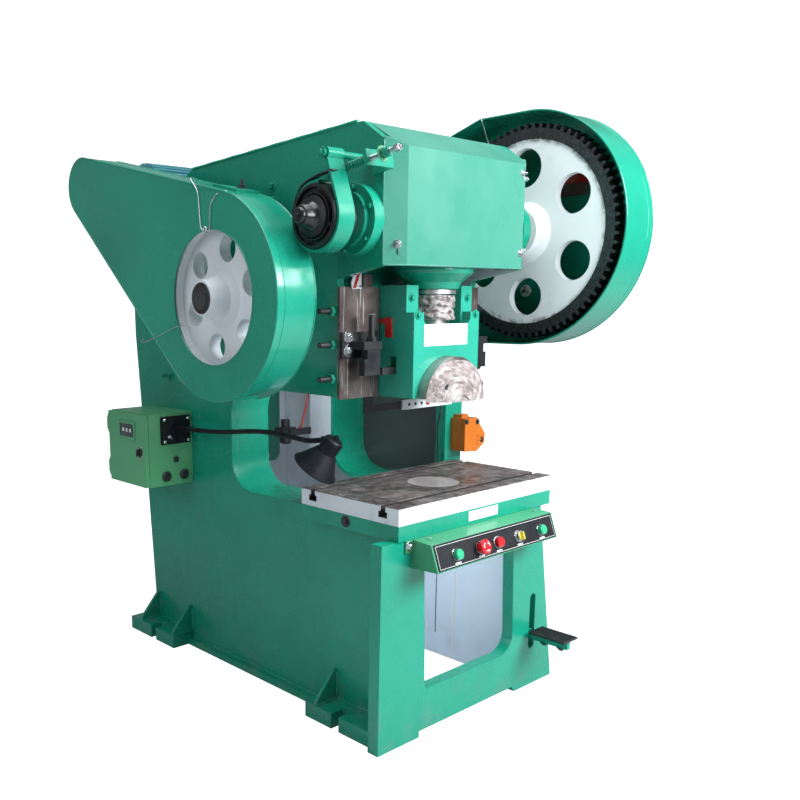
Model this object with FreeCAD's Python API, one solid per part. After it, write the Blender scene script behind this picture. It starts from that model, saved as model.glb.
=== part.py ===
import FreeCAD, Part
import math
import os

from FreeCAD import Vector

os.makedirs("parts", exist_ok=True)

# Mechanical stamping press, gap frame with a fixed table.  Millimetres.
# X runs to the operator's right, Y runs from the front to the back and Z is up.
# The origin is on the floor, in the middle of the four foundation slots.  The pieces
# are drawn from the base front plate's front face and moved as they are saved.

# ---- driving dimensions: frame ----
FRAME_HALF = 358.0          # centre line to the outer face of a side plate
SIDE_T = 28.0               # side plate thickness
SIDE_IN = FRAME_HALF - SIDE_T
BASE_HALF = 460.0           # half width of the base front plate and the feet
FRONT_T = 45.0              # base front plate thickness
REAR_BOTTOM = 1480.0        # rear edge of the side plates at the floor
REAR_TOP = 1578.0           # rear edge of the side plates at the top
FOOT_H = 55.0
FOOT_REAR = 1540.0
REAR_FOOT_FRONT = 1206.0
FRONT_FOOT_REAR = 374.0
FOOT_SLOT_Y = (224.0, 1360.0)
DATUM_Y = sum(FOOT_SLOT_Y) / 2    # the origin's place behind the base front plate's face
SLOT_HALF = 18.0            # half the width of a foundation slot
SLOT_DEEP = 62.0
GUSSET_Y = (325.0, 1216.0, 1460.0)
OPEN_LEFT = 262.0           # base portal, from the centre line to its left edge
OPEN_RIGHT = 226.0
LINER_LEFT = -312.0         # the sheet behind the portal, from side to side
LINER_RIGHT = 284.0
LINER_LOW = 20.0

# ---- driving dimensions: table and throat ----
TABLE_HALF = 410.0
TABLE_FRONT = -6.0
TABLE_BACK = 445.0
SHELF_Z = 695.0
SHELF_T = 51.0
PLATE_Z = SHELF_Z + SHELF_T
PLATE_T = 56.0
TABLE_Z = PLATE_Z + PLATE_T
THROAT_FLOOR = 725.0
THROAT_BACK = 907.0
THROAT_TOP = 1118.0
THROAT_R = 110.0
LINER_T = 16.0
COLUMN_GAP = 178.0          # half the clear width between the two columns
WALL_BACK = 1057.0
INSERT_Y = 205.0            # round insert in the middle of the table
INSERT_R = 92.0
T_SLOT_Y = (62.0, 388.0)
T_NECK = 22.0
T_FOOT = 38.0

# ---- driving dimensions: head, crank and slide ----
AXIS_Y = 228.0
CRANK_Z = 1676.0
THROW = 50.0                # half the stroke
STROKE = 2 * THROW
COVER_Z = 1537.0            # lower edge of the front cover
HEAD_FRONT = 125.0          # front edge of the side plates in the head
GIB_FACE = 325.0            # front edge of the side plates beside the slide
SLIDE_HALF = 170.0
SLIDE_FRONT = 160.0
SLIDE_Z = 1110.0
SLIDE_TOP = 1480.0
FLANGE_HALF = 240.0
JOURNAL_R = 50.0
FIT = 0.05                  # radial clearance of a running fit
GUIDE_FRONT = GIB_FACE + 0.3
GUIDE_BACK = 359.5          # the slide's flanges run between these two faces
GIB_SCREW_Z = (1177.0, 1288.0, 1397.0)
GIB_SCREW_Y = 345.0
GIB_SCREW_R = 9.0
PIN_R = 42.0                # crank pin
BIG_END_LONG = THROW + PIN_R + 5
BIG_END_HIGH = PIN_R + 14
BIG_END_WALL = 20.0
BIG_END_HALF = 64.0
SCREW_R = 58.0              # adjusting screw and its ball
BALL_Z = 1322.0
BALL_R = 66.0
CLAMP_R = 150.0
CLAMP_Z = SLIDE_Z - 15
CLAMP_BOLT_X = (-88.0, 88.0)
CLAMP_BOLT_Z = 1150.0
SHANK_R = 25.0
SHANK_DEEP = 68.0
BAR_Y0 = 240.0              # knock-out bar
BAR_Y1 = 262.0
BAR_Z0 = 1188.0
BAR_H = 24.0

# ---- driving dimensions: drive ----
MODULE = 10.0
GEAR_TEETH = 76
PINION_TEETH = 12
GEAR_X0 = 512.0
GEAR_W = 70.0
CENTRE_DIST = MODULE * (GEAR_TEETH + PINION_TEETH) / 2 + 0.6
MESH_ANGLE = math.radians(-32.54)
SHAFT_Y = AXIS_Y + CENTRE_DIST * math.cos(MESH_ANGLE)
SHAFT_Z = CRANK_Z + CENTRE_DIST * math.sin(MESH_ANGLE)
SHAFT_R = 35.0
FLY_R = 296.0
FLY_X0 = -640.0
FLY_X1 = -525.0
FLY_HOLE_AT = 161.0         # the six holes in the flywheel's web
FLY_HOLE_R = 43.0
FLY_HOLE_TURN = 42.0
BELT_X = (-608.0, -582.0, -556.0)
MOTOR_Y = 1420.0
MOTOR_Z = 1856.0
MOTOR_R = 116.0
PULLEY_R = 78.0
MOTOR_SHAFT_R = 19.0
GROOVE_DEPTH = 12.0
HUB_X = 468.0               # outer end of the big gear's hub
GUARD_R = 420.0
GUARD_Z = CRANK_Z + 10
BELT_GUARD_R = 335.0
BELT_GUARD_END_R = 108.0
BELT_GUARD_WINDOW_R = 218.0
BELT_GUARD_X0 = -661.0
BELT_GUARD_X1 = -505.0

# ---- driving dimensions: brake ----
BAND_X0 = -543.0
BAND_X1 = -479.0
BAND_R = 95.0
BAND_T = 9.0
BRAKE_PIN_Y = 185.0
BRAKE_PIN_Z = 1852.0
BRAKE_PIN_R = 10.0
ROD_X = -452.0
ROD_Z = 1811.0              # the brake rod's height above the crank
ROD_TILT = 9.07             # degrees that the rod rises to the front
ROD_R = 6.5
COIL_R = 12.5               # brake spring
COIL_WIRE_R = 2.4
COIL_TURNS = 11

# ---- driving dimensions: controls, cabinet and lamp ----
CONTROL_X0 = -343.0
CONTROL_X1 = 308.0
PANEL_TOP = (-80.0, 690.0)
PANEL_BOTTOM = (-110.0, 606.0)
PANEL_ANGLE = math.atan2(PANEL_TOP[0] - PANEL_BOTTOM[0], PANEL_TOP[1] - PANEL_BOTTOM[1])
PANEL_NORMAL = (0.0, -math.cos(PANEL_ANGLE), math.sin(PANEL_ANGLE))
PANEL_T = 2.5
PANEL_SHARE = 0.46          # height of the controls on the panel, as a share
CONTROL_X = (-240.0, -120.0, -26.0, 89.0, 218.0)
STEM_R = 14.0               # stem of a button
BUTTON_IN = 28.0            # length of the stem behind the panel's face
CAB_X0, CAB_X1 = -560.0, -FRAME_HALF
CAB_Y0, CAB_Y1 = 1176.0, 1452.0
CAB_Z0, CAB_Z1 = 706.0, 996.0
CAB_SHEET = 3.0
HINGE_X = CAB_X0 - 12
HINGE_Y = CAB_Y1 + 9
HINGE_R = 3.0
HINGE_Z = (CAB_Z0 + 30, CAB_Z1 - 80)
LOCK_Y = 1213.0
LOCK_Z = 846.0
LAMP_TUBE_R = 9.0
LAMP_BALL = (-391.0, 354.0, 976.0)
LAMP_BALL_R = 13.0
LAMP_AIM = (-0.274, 0.516, -0.812)      # the way the shade looks
LAMP_SIDE = (0.165, 0.857, 0.489)       # from the shade's axis to the arm's ball
LAMP_ROUTE = (
    (-438.0, CAB_Y0 - 20, 940.0), (-433.0, 1084.0, 939.0), (-429.0, 990.0, 941.0), (-424.0, 900.0, 946.0),
    (-420.0, 810.0, 956.0), (-415.0, 720.0, 968.0), (-410.0, 630.0, 974.0), (-405.0, 555.0, 973.0),
    (-400.0, 484.0, 968.0), (-396.0, 422.0, 964.0), (-391.5, 362.0, 974.0))

# ---- driving dimensions: hose, cable, pedal and foot switch ----
AIR_Y = 1090.0
HOSE_R = 5.0
HOSE_ROUTE = (
    (108.0, AIR_Y, 876.0), (130.0, AIR_Y, 876.0), (150.0, AIR_Y, 886.0), (162.0, AIR_Y, 908.0),
    (170.0, AIR_Y - 1, 932.0), (177.0, AIR_Y - 3, 960.0), (184.0, AIR_Y - 5, 992.0),
    (190.0, AIR_Y - 7, 1026.0), (190.0, AIR_Y - 7, 1058.0))
CABLE_R = 3.5
CABLE_ROUTE = (
    (262.0, 397.0, 1036.0), (262.0, 397.0, 1010.0), (266.0, 407.0, 984.0), (278.0, 424.0, 957.0),
    (296.0, 440.0, 930.0), (314.0, 453.0, 898.0), (328.0, 463.0, 862.0), (338.0, 469.0, 826.0),
    (343.0, 472.0, 791.0), (344.0, 473.0, 757.0), (344.0, 473.0, THROAT_FLOOR))
PEDAL_X = 343.0             # the pedal's slot in the base front plate
PEDAL_HALF = 9.0
PEDAL_INNER_X = 305.0       # the pedal's arm behind the base front plate
PIVOT_Y = 322.0
PIVOT_Z = 205.0
PIVOT_R = 12.0
SWITCH_Y = 452.0            # back of the foot switch, on the post
TREADLE_Z = 925.0
TREADLE_PIN_R = 3.0

X_AXIS = Vector(1, 0, 0)
Y_AXIS = Vector(0, 1, 0)
Z_AXIS = Vector(0, 0, 1)


# ---- drawing helpers ----
def on_yz(x):
    """Places a drawing (y, z) at this x."""
    return lambda a, b: Vector(x, a, b)


def on_xz(y):
    """Places a drawing (x, z) at this y."""
    return lambda a, b: Vector(a, y, b)


def on_xy(z):
    """Places a drawing (x, y) at this z."""
    return lambda a, b: Vector(a, b, z)


def outline(points, place):
    """Closed wire through (a, b) or (a, b, corner radius) points."""
    count = len(points)
    ends = []
    for i, point in enumerate(points):
        a, b = point[0], point[1]
        radius = point[2] if len(point) > 2 else 0.0
        if radius == 0.0:
            ends.append(((a, b), None, (a, b)))
            continue
        before = points[i - 1]
        after = points[(i + 1) % count]
        u = unit(before[0] - a, before[1] - b)
        v = unit(after[0] - a, after[1] - b)
        half = math.acos(u[0] * v[0] + u[1] * v[1]) / 2
        run = radius / math.tan(half)
        m = unit(u[0] + v[0], u[1] + v[1])
        reach = radius / math.sin(half) - radius
        start = (a + u[0] * run, b + u[1] * run)
        middle = (a + m[0] * reach, b + m[1] * reach)
        end = (a + v[0] * run, b + v[1] * run)
        ends.append((start, middle, end))
    edges = []
    for i, (start, middle, end) in enumerate(ends):
        if middle is not None:
            arc = Part.Arc(place(*start), place(*middle), place(*end))
            edges.append(arc.toShape())
        follow = ends[(i + 1) % count][0]
        if math.dist(end, follow) > 1e-6:
            edges.append(Part.makeLine(place(*end), place(*follow)))
    return Part.Wire(edges)


def unit(a, b):
    """The direction of (a, b) with length 1."""
    length = math.hypot(a, b)
    return a / length, b / length


def prism_x(points, x0, x1):
    """A (y, z) outline between two x."""
    return Part.Face(outline(points, on_yz(x0))).extrude(Vector(x1 - x0, 0, 0))


def prism_y(points, y0, y1):
    """An (x, z) outline between two y."""
    return Part.Face(outline(points, on_xz(y0))).extrude(Vector(0, y1 - y0, 0))


def prism_z(points, z0, z1):
    """An (x, y) outline between two z."""
    return Part.Face(outline(points, on_xy(z0))).extrude(Vector(0, 0, z1 - z0))


def box(x0, x1, y0, y1, z0, z1):
    """A block between two corners."""
    return Part.makeBox(x1 - x0, y1 - y0, z1 - z0, Vector(x0, y0, z0))


def rod_x(x0, x1, y, z, r):
    """A round bar along X."""
    return Part.makeCylinder(r, x1 - x0, Vector(x0, y, z), X_AXIS)


def rod_y(y0, y1, x, z, r):
    """A round bar along Y."""
    return Part.makeCylinder(r, y1 - y0, Vector(x, y0, z), Y_AXIS)


def rod_z(z0, z1, x, y, r):
    """A round bar along Z."""
    return Part.makeCylinder(r, z1 - z0, Vector(x, y, z0), Z_AXIS)


def rod(start, direction, length, r):
    """A round bar in any direction."""
    return Part.makeCylinder(r, length, Vector(*start), Vector(*direction))


def ring_x(x0, x1, y, z, outer, inner):
    """A round tube along X."""
    return rod_x(x0, x1, y, z, outer).cut(rod_x(x0 - 1, x1 + 1, y, z, inner))


def turned_x(profile, y, z):
    """A profile of (x, radius) points turned about the X line through y, z."""
    points = [Vector(x, y, z + r) for x, r in profile]
    points.append(points[0])
    face = Part.Face(Part.makePolygon(points))
    return face.revolve(Vector(0, y, z), X_AXIS, 360)


def turned_z(profile, x, y):
    """A profile of (radius, z) points turned about the Z line through x, y."""
    points = [Vector(x + r, y, z) for r, z in profile]
    points.append(points[0])
    face = Part.Face(Part.makePolygon(points))
    return face.revolve(Vector(x, y, 0), Z_AXIS, 360)


def turned(profile, base, direction):
    """A profile of (radius, distance) points turned about a line."""
    shape = turned_z(profile, 0, 0)
    turn = FreeCAD.Rotation(Z_AXIS, Vector(*direction))
    shape.Placement = FreeCAD.Placement(Vector(*base), turn)
    return shape


def hexagon_x(x0, x1, y, z, across):
    """A hexagonal head or nut along X."""
    r = across / math.sqrt(3)
    points = []
    for k in range(6):
        angle = math.radians(60 * k)
        points.append((y + r * math.cos(angle), z + r * math.sin(angle)))
    return prism_x(points, x0, x1)


def hexagon_z(z0, z1, x, y, across):
    """A hexagonal head or nut along Z."""
    r = across / math.sqrt(3)
    points = []
    for k in range(6):
        angle = math.radians(60 * k)
        points.append((x + r * math.cos(angle), y + r * math.sin(angle)))
    return prism_z(points, z0, z1)


def hexagon_y(y0, y1, x, z, across):
    """A hexagonal head or nut along Y."""
    r = across / math.sqrt(3)
    points = []
    for k in range(6):
        angle = math.radians(60 * k)
        points.append((x + r * math.cos(angle), z + r * math.sin(angle)))
    return prism_y(points, y0, y1)


def mirrored(shape):
    """The same shape on the other side of the press."""
    return shape.mirror(Vector(0, 0, 0), X_AXIS)


def hull(centre_a, r_a, centre_b, r_b, x0, x1):
    """A solid belt shape round two circles in the YZ plane."""
    dy = centre_b[0] - centre_a[0]
    dz = centre_b[1] - centre_a[1]
    length = math.hypot(dy, dz)
    line = math.atan2(dz, dy)
    lean = math.acos((r_a - r_b) / length)

    def at(centre, r, angle):
        return Vector(x0, centre[0] + r * math.cos(angle), centre[1] + r * math.sin(angle))

    a_up = at(centre_a, r_a, line + lean)
    a_back = at(centre_a, r_a, line + math.pi)
    a_down = at(centre_a, r_a, line - lean)
    b_up = at(centre_b, r_b, line + lean)
    b_front = at(centre_b, r_b, line)
    b_down = at(centre_b, r_b, line - lean)
    edges = [
        Part.Arc(a_up, a_back, a_down).toShape(),
        Part.makeLine(a_down, b_down),
        Part.Arc(b_down, b_front, b_up).toShape(),
        Part.makeLine(b_up, a_up),
    ]
    return Part.Face(Part.Wire(edges)).extrude(Vector(x1 - x0, 0, 0))


def toothed(teeth, y, z, first_angle, x0, x1):
    """A spur gear blank whose first tooth points at first_angle."""
    pitch_r = MODULE * teeth / 2
    tip_r = pitch_r + 0.72 * MODULE
    root_r = pitch_r - 1.12 * MODULE
    step = 2 * math.pi / teeth
    points = []
    for k in range(teeth):
        middle = first_angle + k * step
        for r, share in ((root_r, -0.25), (tip_r, -0.11), (tip_r, 0.11), (root_r, 0.25)):
            angle = middle + share * step
            points.append((y + r * math.cos(angle), z + r * math.sin(angle)))
    return prism_x(points, x0, x1)


def joined(shapes):
    """One solid from pieces that are welded or cast together."""
    result = shapes[0].multiFuse(shapes[1:])
    return result.removeSplitter()


def drilled(shape, tools):
    """A shape with holes or pockets."""
    for tool in tools:
        shape = shape.cut(tool)
    return shape


def route_tube(name, points, radius):
    """A tube along straight runs joined by tangent arcs."""
    path = [Vector(*p) for p in points]
    edges = []
    start = path[0]
    tightest = None
    for i in range(1, len(path) - 1):
        before = path[i - 1] - path[i]
        after = path[i + 1] - path[i]
        short = min(before.Length, after.Length)
        before.normalize()
        after.normalize()
        inner = math.acos(max(-1.0, min(1.0, before.dot(after))))
        half_turn = (math.pi - inner) / 2
        run = 0.45 * short
        bend = run / math.tan(half_turn)
        tightest = bend if tightest is None else min(tightest, bend)
        bisector = before + after
        bisector.normalize()
        a = path[i] + before * run
        b = path[i] + after * run
        middle = path[i] + bisector * (bend / math.cos(half_turn) - bend)
        edges.append(Part.makeLine(start, a))
        edges.append(Part.Arc(a, middle, b).toShape())
        start = b
    edges.append(Part.makeLine(start, path[-1]))
    spine = Part.Wire(edges)
    direction = path[1] - path[0]
    circle = Part.Wire(Part.makeCircle(radius, path[0], direction))
    tube = spine.makePipeShell([circle], True, False)
    share = tube.Volume / (math.pi * radius ** 2 * spine.Length)
    print("%s: length %.1f, tightest bend %.1f, volume share %.4f" % (name, spine.Length, tightest, share))
    return tube


nodes = {}


def save(name, *solids):
    """Writes one node, a piece or a group of like pieces, moved to the origin."""
    drawn = solids[0] if len(solids) == 1 else Part.makeCompound(list(solids))
    shape = drawn.translated(Vector(0, -DATUM_Y, 0))
    shape.exportStep("parts/" + name + ".step")
    nodes[name] = shape


# ---- frame ----
def throat_curve(offset, first, last):
    """The C of the throat from its floor to its top, moved into the metal by offset."""
    r = THROAT_R + offset
    return [
        (first, THROAT_FLOOR - offset),
        (THROAT_BACK + offset, THROAT_FLOOR - offset, r),
        (THROAT_BACK + offset, THROAT_TOP + offset, r),
        (last, THROAT_TOP + offset),
    ]


def side_plate():
    """A frame plate, flame cut in one piece, in the right-hand place."""
    points = [(FRONT_T, 0), (FRONT_T, SHELF_Z), (TABLE_BACK + 3, SHELF_Z)]
    points += throat_curve(0, TABLE_BACK + 3, GIB_FACE)
    points += [
        (GIB_FACE, 1500),
        (HEAD_FRONT, COVER_Z),
        (HEAD_FRONT, 1904),
        (215, 1965),
        (1131, 1917),
        (1160, 1900),
        (1250, 1690, 60),
        (REAR_TOP, 1690, 30),
        (REAR_TOP, 1290),
        (1524, 634),
        (REAR_BOTTOM, 0),
    ]
    plate = prism_x(points, SIDE_IN, FRAME_HALF)
    x0, x1 = SIDE_IN - 1, FRAME_HALF + 1
    holes = [
        rod_x(x0, x1, AXIS_Y, CRANK_Z, 62),
        rod_x(x0, x1, SHAFT_Y, SHAFT_Z, 48),
    ]
    for z in GIB_SCREW_Z:
        holes.append(rod_x(x0, x1, GIB_SCREW_Y, z, GIB_SCREW_R + 1))
    return drilled(plate, holes)


def base_front_plate():
    """The portal plate that stands in front of the two side plates."""
    plate = prism_y([(-484, 0), (485, 0), (364, SHELF_Z), (-478, SHELF_Z)], 0, FRONT_T)
    y0, y1 = -1, FRONT_T + 1
    opening = prism_y([(-OPEN_LEFT, 165, 12), (OPEN_RIGHT, 165, 70), (OPEN_RIGHT - 22, 625, 25),
                       (-OPEN_LEFT - 16, 625, 25)], y0, y1)
    relief = prism_y([(-285, -1), (250, -1), (232, 22), (-285, 22)], y0, y1)
    half, end_r = 17.0, 16.9
    slot = prism_y([(PEDAL_X - half, 146, end_r), (PEDAL_X + half, 146, end_r), (PEDAL_X + half, 360, end_r),
                    (PEDAL_X - half, 360, end_r)], y0, y1)
    return drilled(plate, [opening, relief, slot])


def foot_flange():
    """The right-hand foot: strip, two feet, their gussets and bolt slots, welded together."""
    inner = FRAME_HALF
    rear = box(inner, BASE_HALF, REAR_FOOT_FRONT, FOOT_REAR, 0, FOOT_H)
    front = box(inner, BASE_HALF, FRONT_T, FRONT_FOOT_REAR, 0, FOOT_H)
    strip = box(inner, inner + 27, FRONT_FOOT_REAR, REAR_FOOT_FRONT, 0, 25)
    pieces = [rear, front, strip]
    for y in GUSSET_Y:
        pieces.append(prism_y([(inner, FOOT_H), (BASE_HALF - 4, FOOT_H), (BASE_HALF - 4, FOOT_H + 14),
                               (inner + 16, FOOT_H + 108), (inner, FOOT_H + 108)], y - 7, y + 7))
    shape = joined(pieces)
    slots = []
    for y in FOOT_SLOT_Y:
        end, corner = BASE_HALF - SLOT_DEEP, SLOT_HALF - 0.1
        slots.append(prism_z([(end, y - SLOT_HALF, corner), (BASE_HALF + 1, y - SLOT_HALF),
                              (BASE_HALF + 1, y + SLOT_HALF), (end, y + SLOT_HALF, corner)], -1, FOOT_H + 1))
    return drilled(shape, slots)


def throat_liner():
    """The right-hand column: a C-shaped liner with the inner wall of the column behind it."""
    first, last = TABLE_BACK + 3, 430.0
    inner = throat_curve(0, first, last)
    outer = throat_curve(LINER_T, first, last)
    outer.reverse()
    liner = prism_x(inner + outer, COLUMN_GAP, SIDE_IN)
    wall = box(COLUMN_GAP, COLUMN_GAP + 12, THROAT_BACK + LINER_T, WALL_BACK, 745, 1100)
    return joined([liner, wall])


def frame_top_plate():
    """The folded skin on top of the side plates, which carries the motor at the back."""
    t = 12.0
    top = [(215, 1965), (1131, 1917), (1160, 1900), (1250, 1690), (REAR_TOP, 1690)]
    under = [(REAR_TOP, 1690 - t), (1243, 1690 - t), (1151, 1892), (1126, 1905), (215, 1965 - t)]
    return prism_x(top + under, -SIDE_IN, SIDE_IN)


def guide_wall():
    """The cross wall behind the slide with its two rear guide rails."""
    wall = box(-SIDE_IN, SIDE_IN, 386, 428, THROAT_TOP, 1560)
    rails = [
        box(-250, -FLANGE_HALF + 66, GUIDE_BACK + 0.3, 386, THROAT_TOP, 1470),
        box(FLANGE_HALF - 66, 250, GUIDE_BACK + 0.3, 386, THROAT_TOP, 1470),
    ]
    return joined([wall] + rails)


def gib_plate():
    """The right-hand front gib, an L-shaped steel guide for the slide."""
    face = box(175, FRAME_HALF, GIB_FACE - 12, GIB_FACE, SLIDE_Z, 1475)
    leg = box(FLANGE_HALF + 0.3, FLANGE_HALF + 24, GIB_FACE, GUIDE_BACK, SLIDE_Z + 12, 1470)
    return joined([face, leg])


def gib_screw(z):
    """A right-hand gib adjusting screw with its lock nut."""
    shaft = rod_x(FLANGE_HALF + 24, FRAME_HALF + 62, GIB_SCREW_Y, z, GIB_SCREW_R)
    nut = hexagon_x(FRAME_HALF, FRAME_HALF + 16, GIB_SCREW_Y, z, 30)
    return joined([shaft, nut])


def stop_bracket():
    """The left-hand knock-out stop: plate on the gib, arm and stop block."""
    y0, y1 = GIB_FACE - 24, GIB_FACE - 12
    plate = box(-FRAME_HALF, -192, y0, y1, 1245, 1330)
    arm = box(-322, -240, 236, y0, 1274, 1300)
    block = drilled(box(-318, -244, 238, 264, 1190, 1275), [box(-319, -304, 237, 265, 1244, 1274)])
    return joined([plate, arm, block])


def stop_screw():
    """The right-hand stop screw with its lock nut."""
    return joined([rod_z(1300, 1385, 262, 262, 10), hexagon_z(1300, 1314, 262, 262, 28)])


# ---- table ----
def table_shelf():
    """The frame's table top under the bolster plate."""
    shelf = box(-TABLE_HALF, TABLE_HALF, TABLE_FRONT, TABLE_BACK, SHELF_Z, PLATE_Z)
    return drilled(shelf, [rod_z(SHELF_Z - 1, PLATE_Z + 1, 0, INSERT_Y, INSERT_R - 25)])


def table_plate():
    """The bolster plate with its T-slots and the seat of the round insert."""
    plate = box(-TABLE_HALF, TABLE_HALF, TABLE_FRONT, TABLE_BACK, PLATE_Z, TABLE_Z)
    tools = [rod_z(TABLE_Z - 20, TABLE_Z + 1, 0, INSERT_Y, INSERT_R + 0.5),
             rod_z(PLATE_Z - 1, TABLE_Z + 1, 0, INSERT_Y, INSERT_R - 14)]
    x0, x1 = -TABLE_HALF - 1, TABLE_HALF + 1
    for y in T_SLOT_Y:
        tools.append(box(x0, x1, y - T_NECK / 2, y + T_NECK / 2, TABLE_Z - 30, TABLE_Z + 1))
        tools.append(box(x0, x1, y - T_FOOT / 2, y + T_FOOT / 2, TABLE_Z - 38, TABLE_Z - 18))
    return drilled(plate, tools)


# ---- crank drive ----
def crankshaft():
    """The crankshaft with its pin up, at the top of the stroke."""
    left = rod_x(-556, -98, AXIS_Y, CRANK_Z, JOURNAL_R)
    right = rod_x(98, GEAR_X0 + GEAR_W + 12, AXIS_Y, CRANK_Z, JOURNAL_R)
    pin = rod_x(-72, 72, AXIS_Y, CRANK_Z + THROW, PIN_R)
    pieces = [left, right, pin]
    for x in (-98, 70):
        pieces.append(hull((AXIS_Y, CRANK_Z), 62, (AXIS_Y, CRANK_Z + THROW), 54, x, x + 28))
    return joined(pieces)


def connecting_rod():
    """The connecting rod: an oblong big end over a bell-shaped screw boss."""
    z = CRANK_Z + THROW
    wall = BIG_END_WALL
    outer = oblong(BIG_END_LONG + wall, BIG_END_HIGH + wall, z, -BIG_END_HALF, BIG_END_HALF)
    inner = oblong(BIG_END_LONG, BIG_END_HIGH, z, -BIG_END_HALF - 1, BIG_END_HALF + 1)
    shank = box(-50, 50, AXIS_Y - 60, AXIS_Y + 60, 1535, z - BIG_END_HIGH - 4)
    bell = turned_z([(0, 1468), (86, 1468), (96, 1490), (132, 1518), (138, 1530), (138, 1548), (0, 1548)],
                    0, AXIS_Y)
    body = joined([outer, shank, bell])
    return drilled(body, [inner, rod_z(1460, 1530, 0, AXIS_Y, SCREW_R + 0.2)])


def oblong(half_long, half_high, z, x0, x1):
    """An oblong with round ends, across the crank."""
    r = half_high - 0.1
    y0, y1 = AXIS_Y - half_long, AXIS_Y + half_long
    low, high = z - half_high, z + half_high
    return prism_x([(y0, low, r), (y1, low, r), (y1, high, r), (y0, high, r)], x0, x1)


def ball_screw():
    """The adjusting screw with its ball end in the slide."""
    screw = rod_z(BALL_Z + 30, 1528, 0, AXIS_Y, SCREW_R)
    collar = rod_z(1452, 1466, 0, AXIS_Y, 78)
    ball = Part.makeSphere(BALL_R, Vector(0, AXIS_Y, BALL_Z))
    return joined([screw, collar, ball])


def slide_block():
    """The slide: guide flanges, ball socket, clamp recess and knock-out slot."""
    body = box(-SLIDE_HALF, SLIDE_HALF, SLIDE_FRONT + 35, 372, SLIDE_Z, SLIDE_TOP)
    pad = box(-SLIDE_HALF, SLIDE_HALF, SLIDE_FRONT, SLIDE_FRONT + 35, SLIDE_Z, 1392)
    flange = box(-FLANGE_HALF, FLANGE_HALF, GUIDE_FRONT, GUIDE_BACK, SLIDE_Z, SLIDE_TOP)
    shape = joined([body, pad, flange])
    pocket = box(-112, 112, SLIDE_FRONT + 34, 335, 1351, SLIDE_TOP + 1)
    recess = prism_y([(-122, 1366, 8), (-108, 1351), (108, 1351), (122, 1366, 8), (122, 1400),
                      (-122, 1400)], SLIDE_FRONT - 1, SLIDE_FRONT + 36)
    socket = joined([Part.makeSphere(BALL_R + 0.3, Vector(0, AXIS_Y, BALL_Z)),
                     rod_z(BALL_Z + 20, 1360, 0, AXIS_Y, SCREW_R + 4)])
    seat = clamp_outline(CLAMP_R + 0.5, SLIDE_FRONT - 1, AXIS_Y)
    slot = box(-SLIDE_HALF - 1, SLIDE_HALF + 1, BAR_Y0 - 3, BAR_Y1 + 3, BAR_Z0 - 0.5, 1246)
    bore = rod_z(SLIDE_Z - 1, SLIDE_Z + SHANK_DEEP, 0, AXIS_Y, SHANK_R)
    hole = rod_z(SLIDE_Z + SHANK_DEEP - 2, BAR_Z0 + 5, 0, 238, 9)
    return drilled(shape, [pocket, recess, socket, seat, slot, bore, hole])


def clamp_outline(r, y0, y1):
    """The half-round of the shank clamp, seen from the front."""
    disc = rod_y(y0, y1, 0, CLAMP_Z, r)
    return disc.common(box(-r - 1, r + 1, y0 - 1, y1 + 1, SLIDE_Z, CLAMP_Z + r + 1))


def shank_clamp():
    """The half-round clamp that closes the shank bore."""
    block = clamp_outline(CLAMP_R, 118, AXIS_Y - 0.3)
    lip = clamp_outline(CLAMP_R - 18, 108, 118)
    shape = joined([block, lip])
    tools = [rod_z(SLIDE_Z - 1, SLIDE_Z + SHANK_DEEP, 0, AXIS_Y, SHANK_R)]
    for x in CLAMP_BOLT_X:
        tools.append(rod_y(100, AXIS_Y, x, CLAMP_BOLT_Z, 11.5))
    return drilled(shape, tools)


def clamp_bolt(x):
    """A stud and nut of the shank clamp."""
    stud = rod_y(78, AXIS_Y, x, CLAMP_BOLT_Z, 11)
    nut = hexagon_y(90, 108, x, CLAMP_BOLT_Z, 34)
    return joined([stud, nut])


def big_gear():
    """The crank gear: toothed ring, web with six holes and a long hub."""
    x0, x1 = GEAR_X0, GEAR_X0 + GEAR_W
    first = MESH_ANGLE + math.pi / GEAR_TEETH
    blank = toothed(GEAR_TEETH, AXIS_Y, CRANK_Z, first, x0, x1)
    ring_in = 334.0
    hub = turned_x([(HUB_X, 0), (HUB_X, 84), (HUB_X + 24, 88), (x0 + 8.5, 112), (x0 + 8.5, 0)],
                   AXIS_Y, CRANK_Z)
    front = ring_x(x0 - 1, x0 + 8, AXIS_Y, CRANK_Z, ring_in, 88)
    rear = ring_x(x1 - 32, x1 + 1, AXIS_Y, CRANK_Z, ring_in, 100)
    blank = blank.cut(front).fuse(hub)
    holes = [rear, rod_x(HUB_X - 1, x1 + 1, AXIS_Y, CRANK_Z, JOURNAL_R + FIT)]
    for k in range(6):
        angle = math.radians(27 + 60 * k)
        y, z = AXIS_Y + 233 * math.cos(angle), CRANK_Z + 233 * math.sin(angle)
        holes.append(rod_x(x0 - 1, x1 + 1, y, z, 70))
    return drilled(blank, holes)


def countershaft():
    """The countershaft with the pinion cut on its right end."""
    x0, x1 = GEAR_X0 - 4, GEAR_X0 + GEAR_W + 4
    shaft = rod_x(-707, x0, SHAFT_Y, SHAFT_Z, SHAFT_R)
    first = MESH_ANGLE + math.pi
    pinion = toothed(PINION_TEETH, SHAFT_Y, SHAFT_Z, first, x0, x1)
    tail = rod_x(x1, x1 + 18, SHAFT_Y, SHAFT_Z, 30)
    return joined([shaft, pinion, tail])


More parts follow.
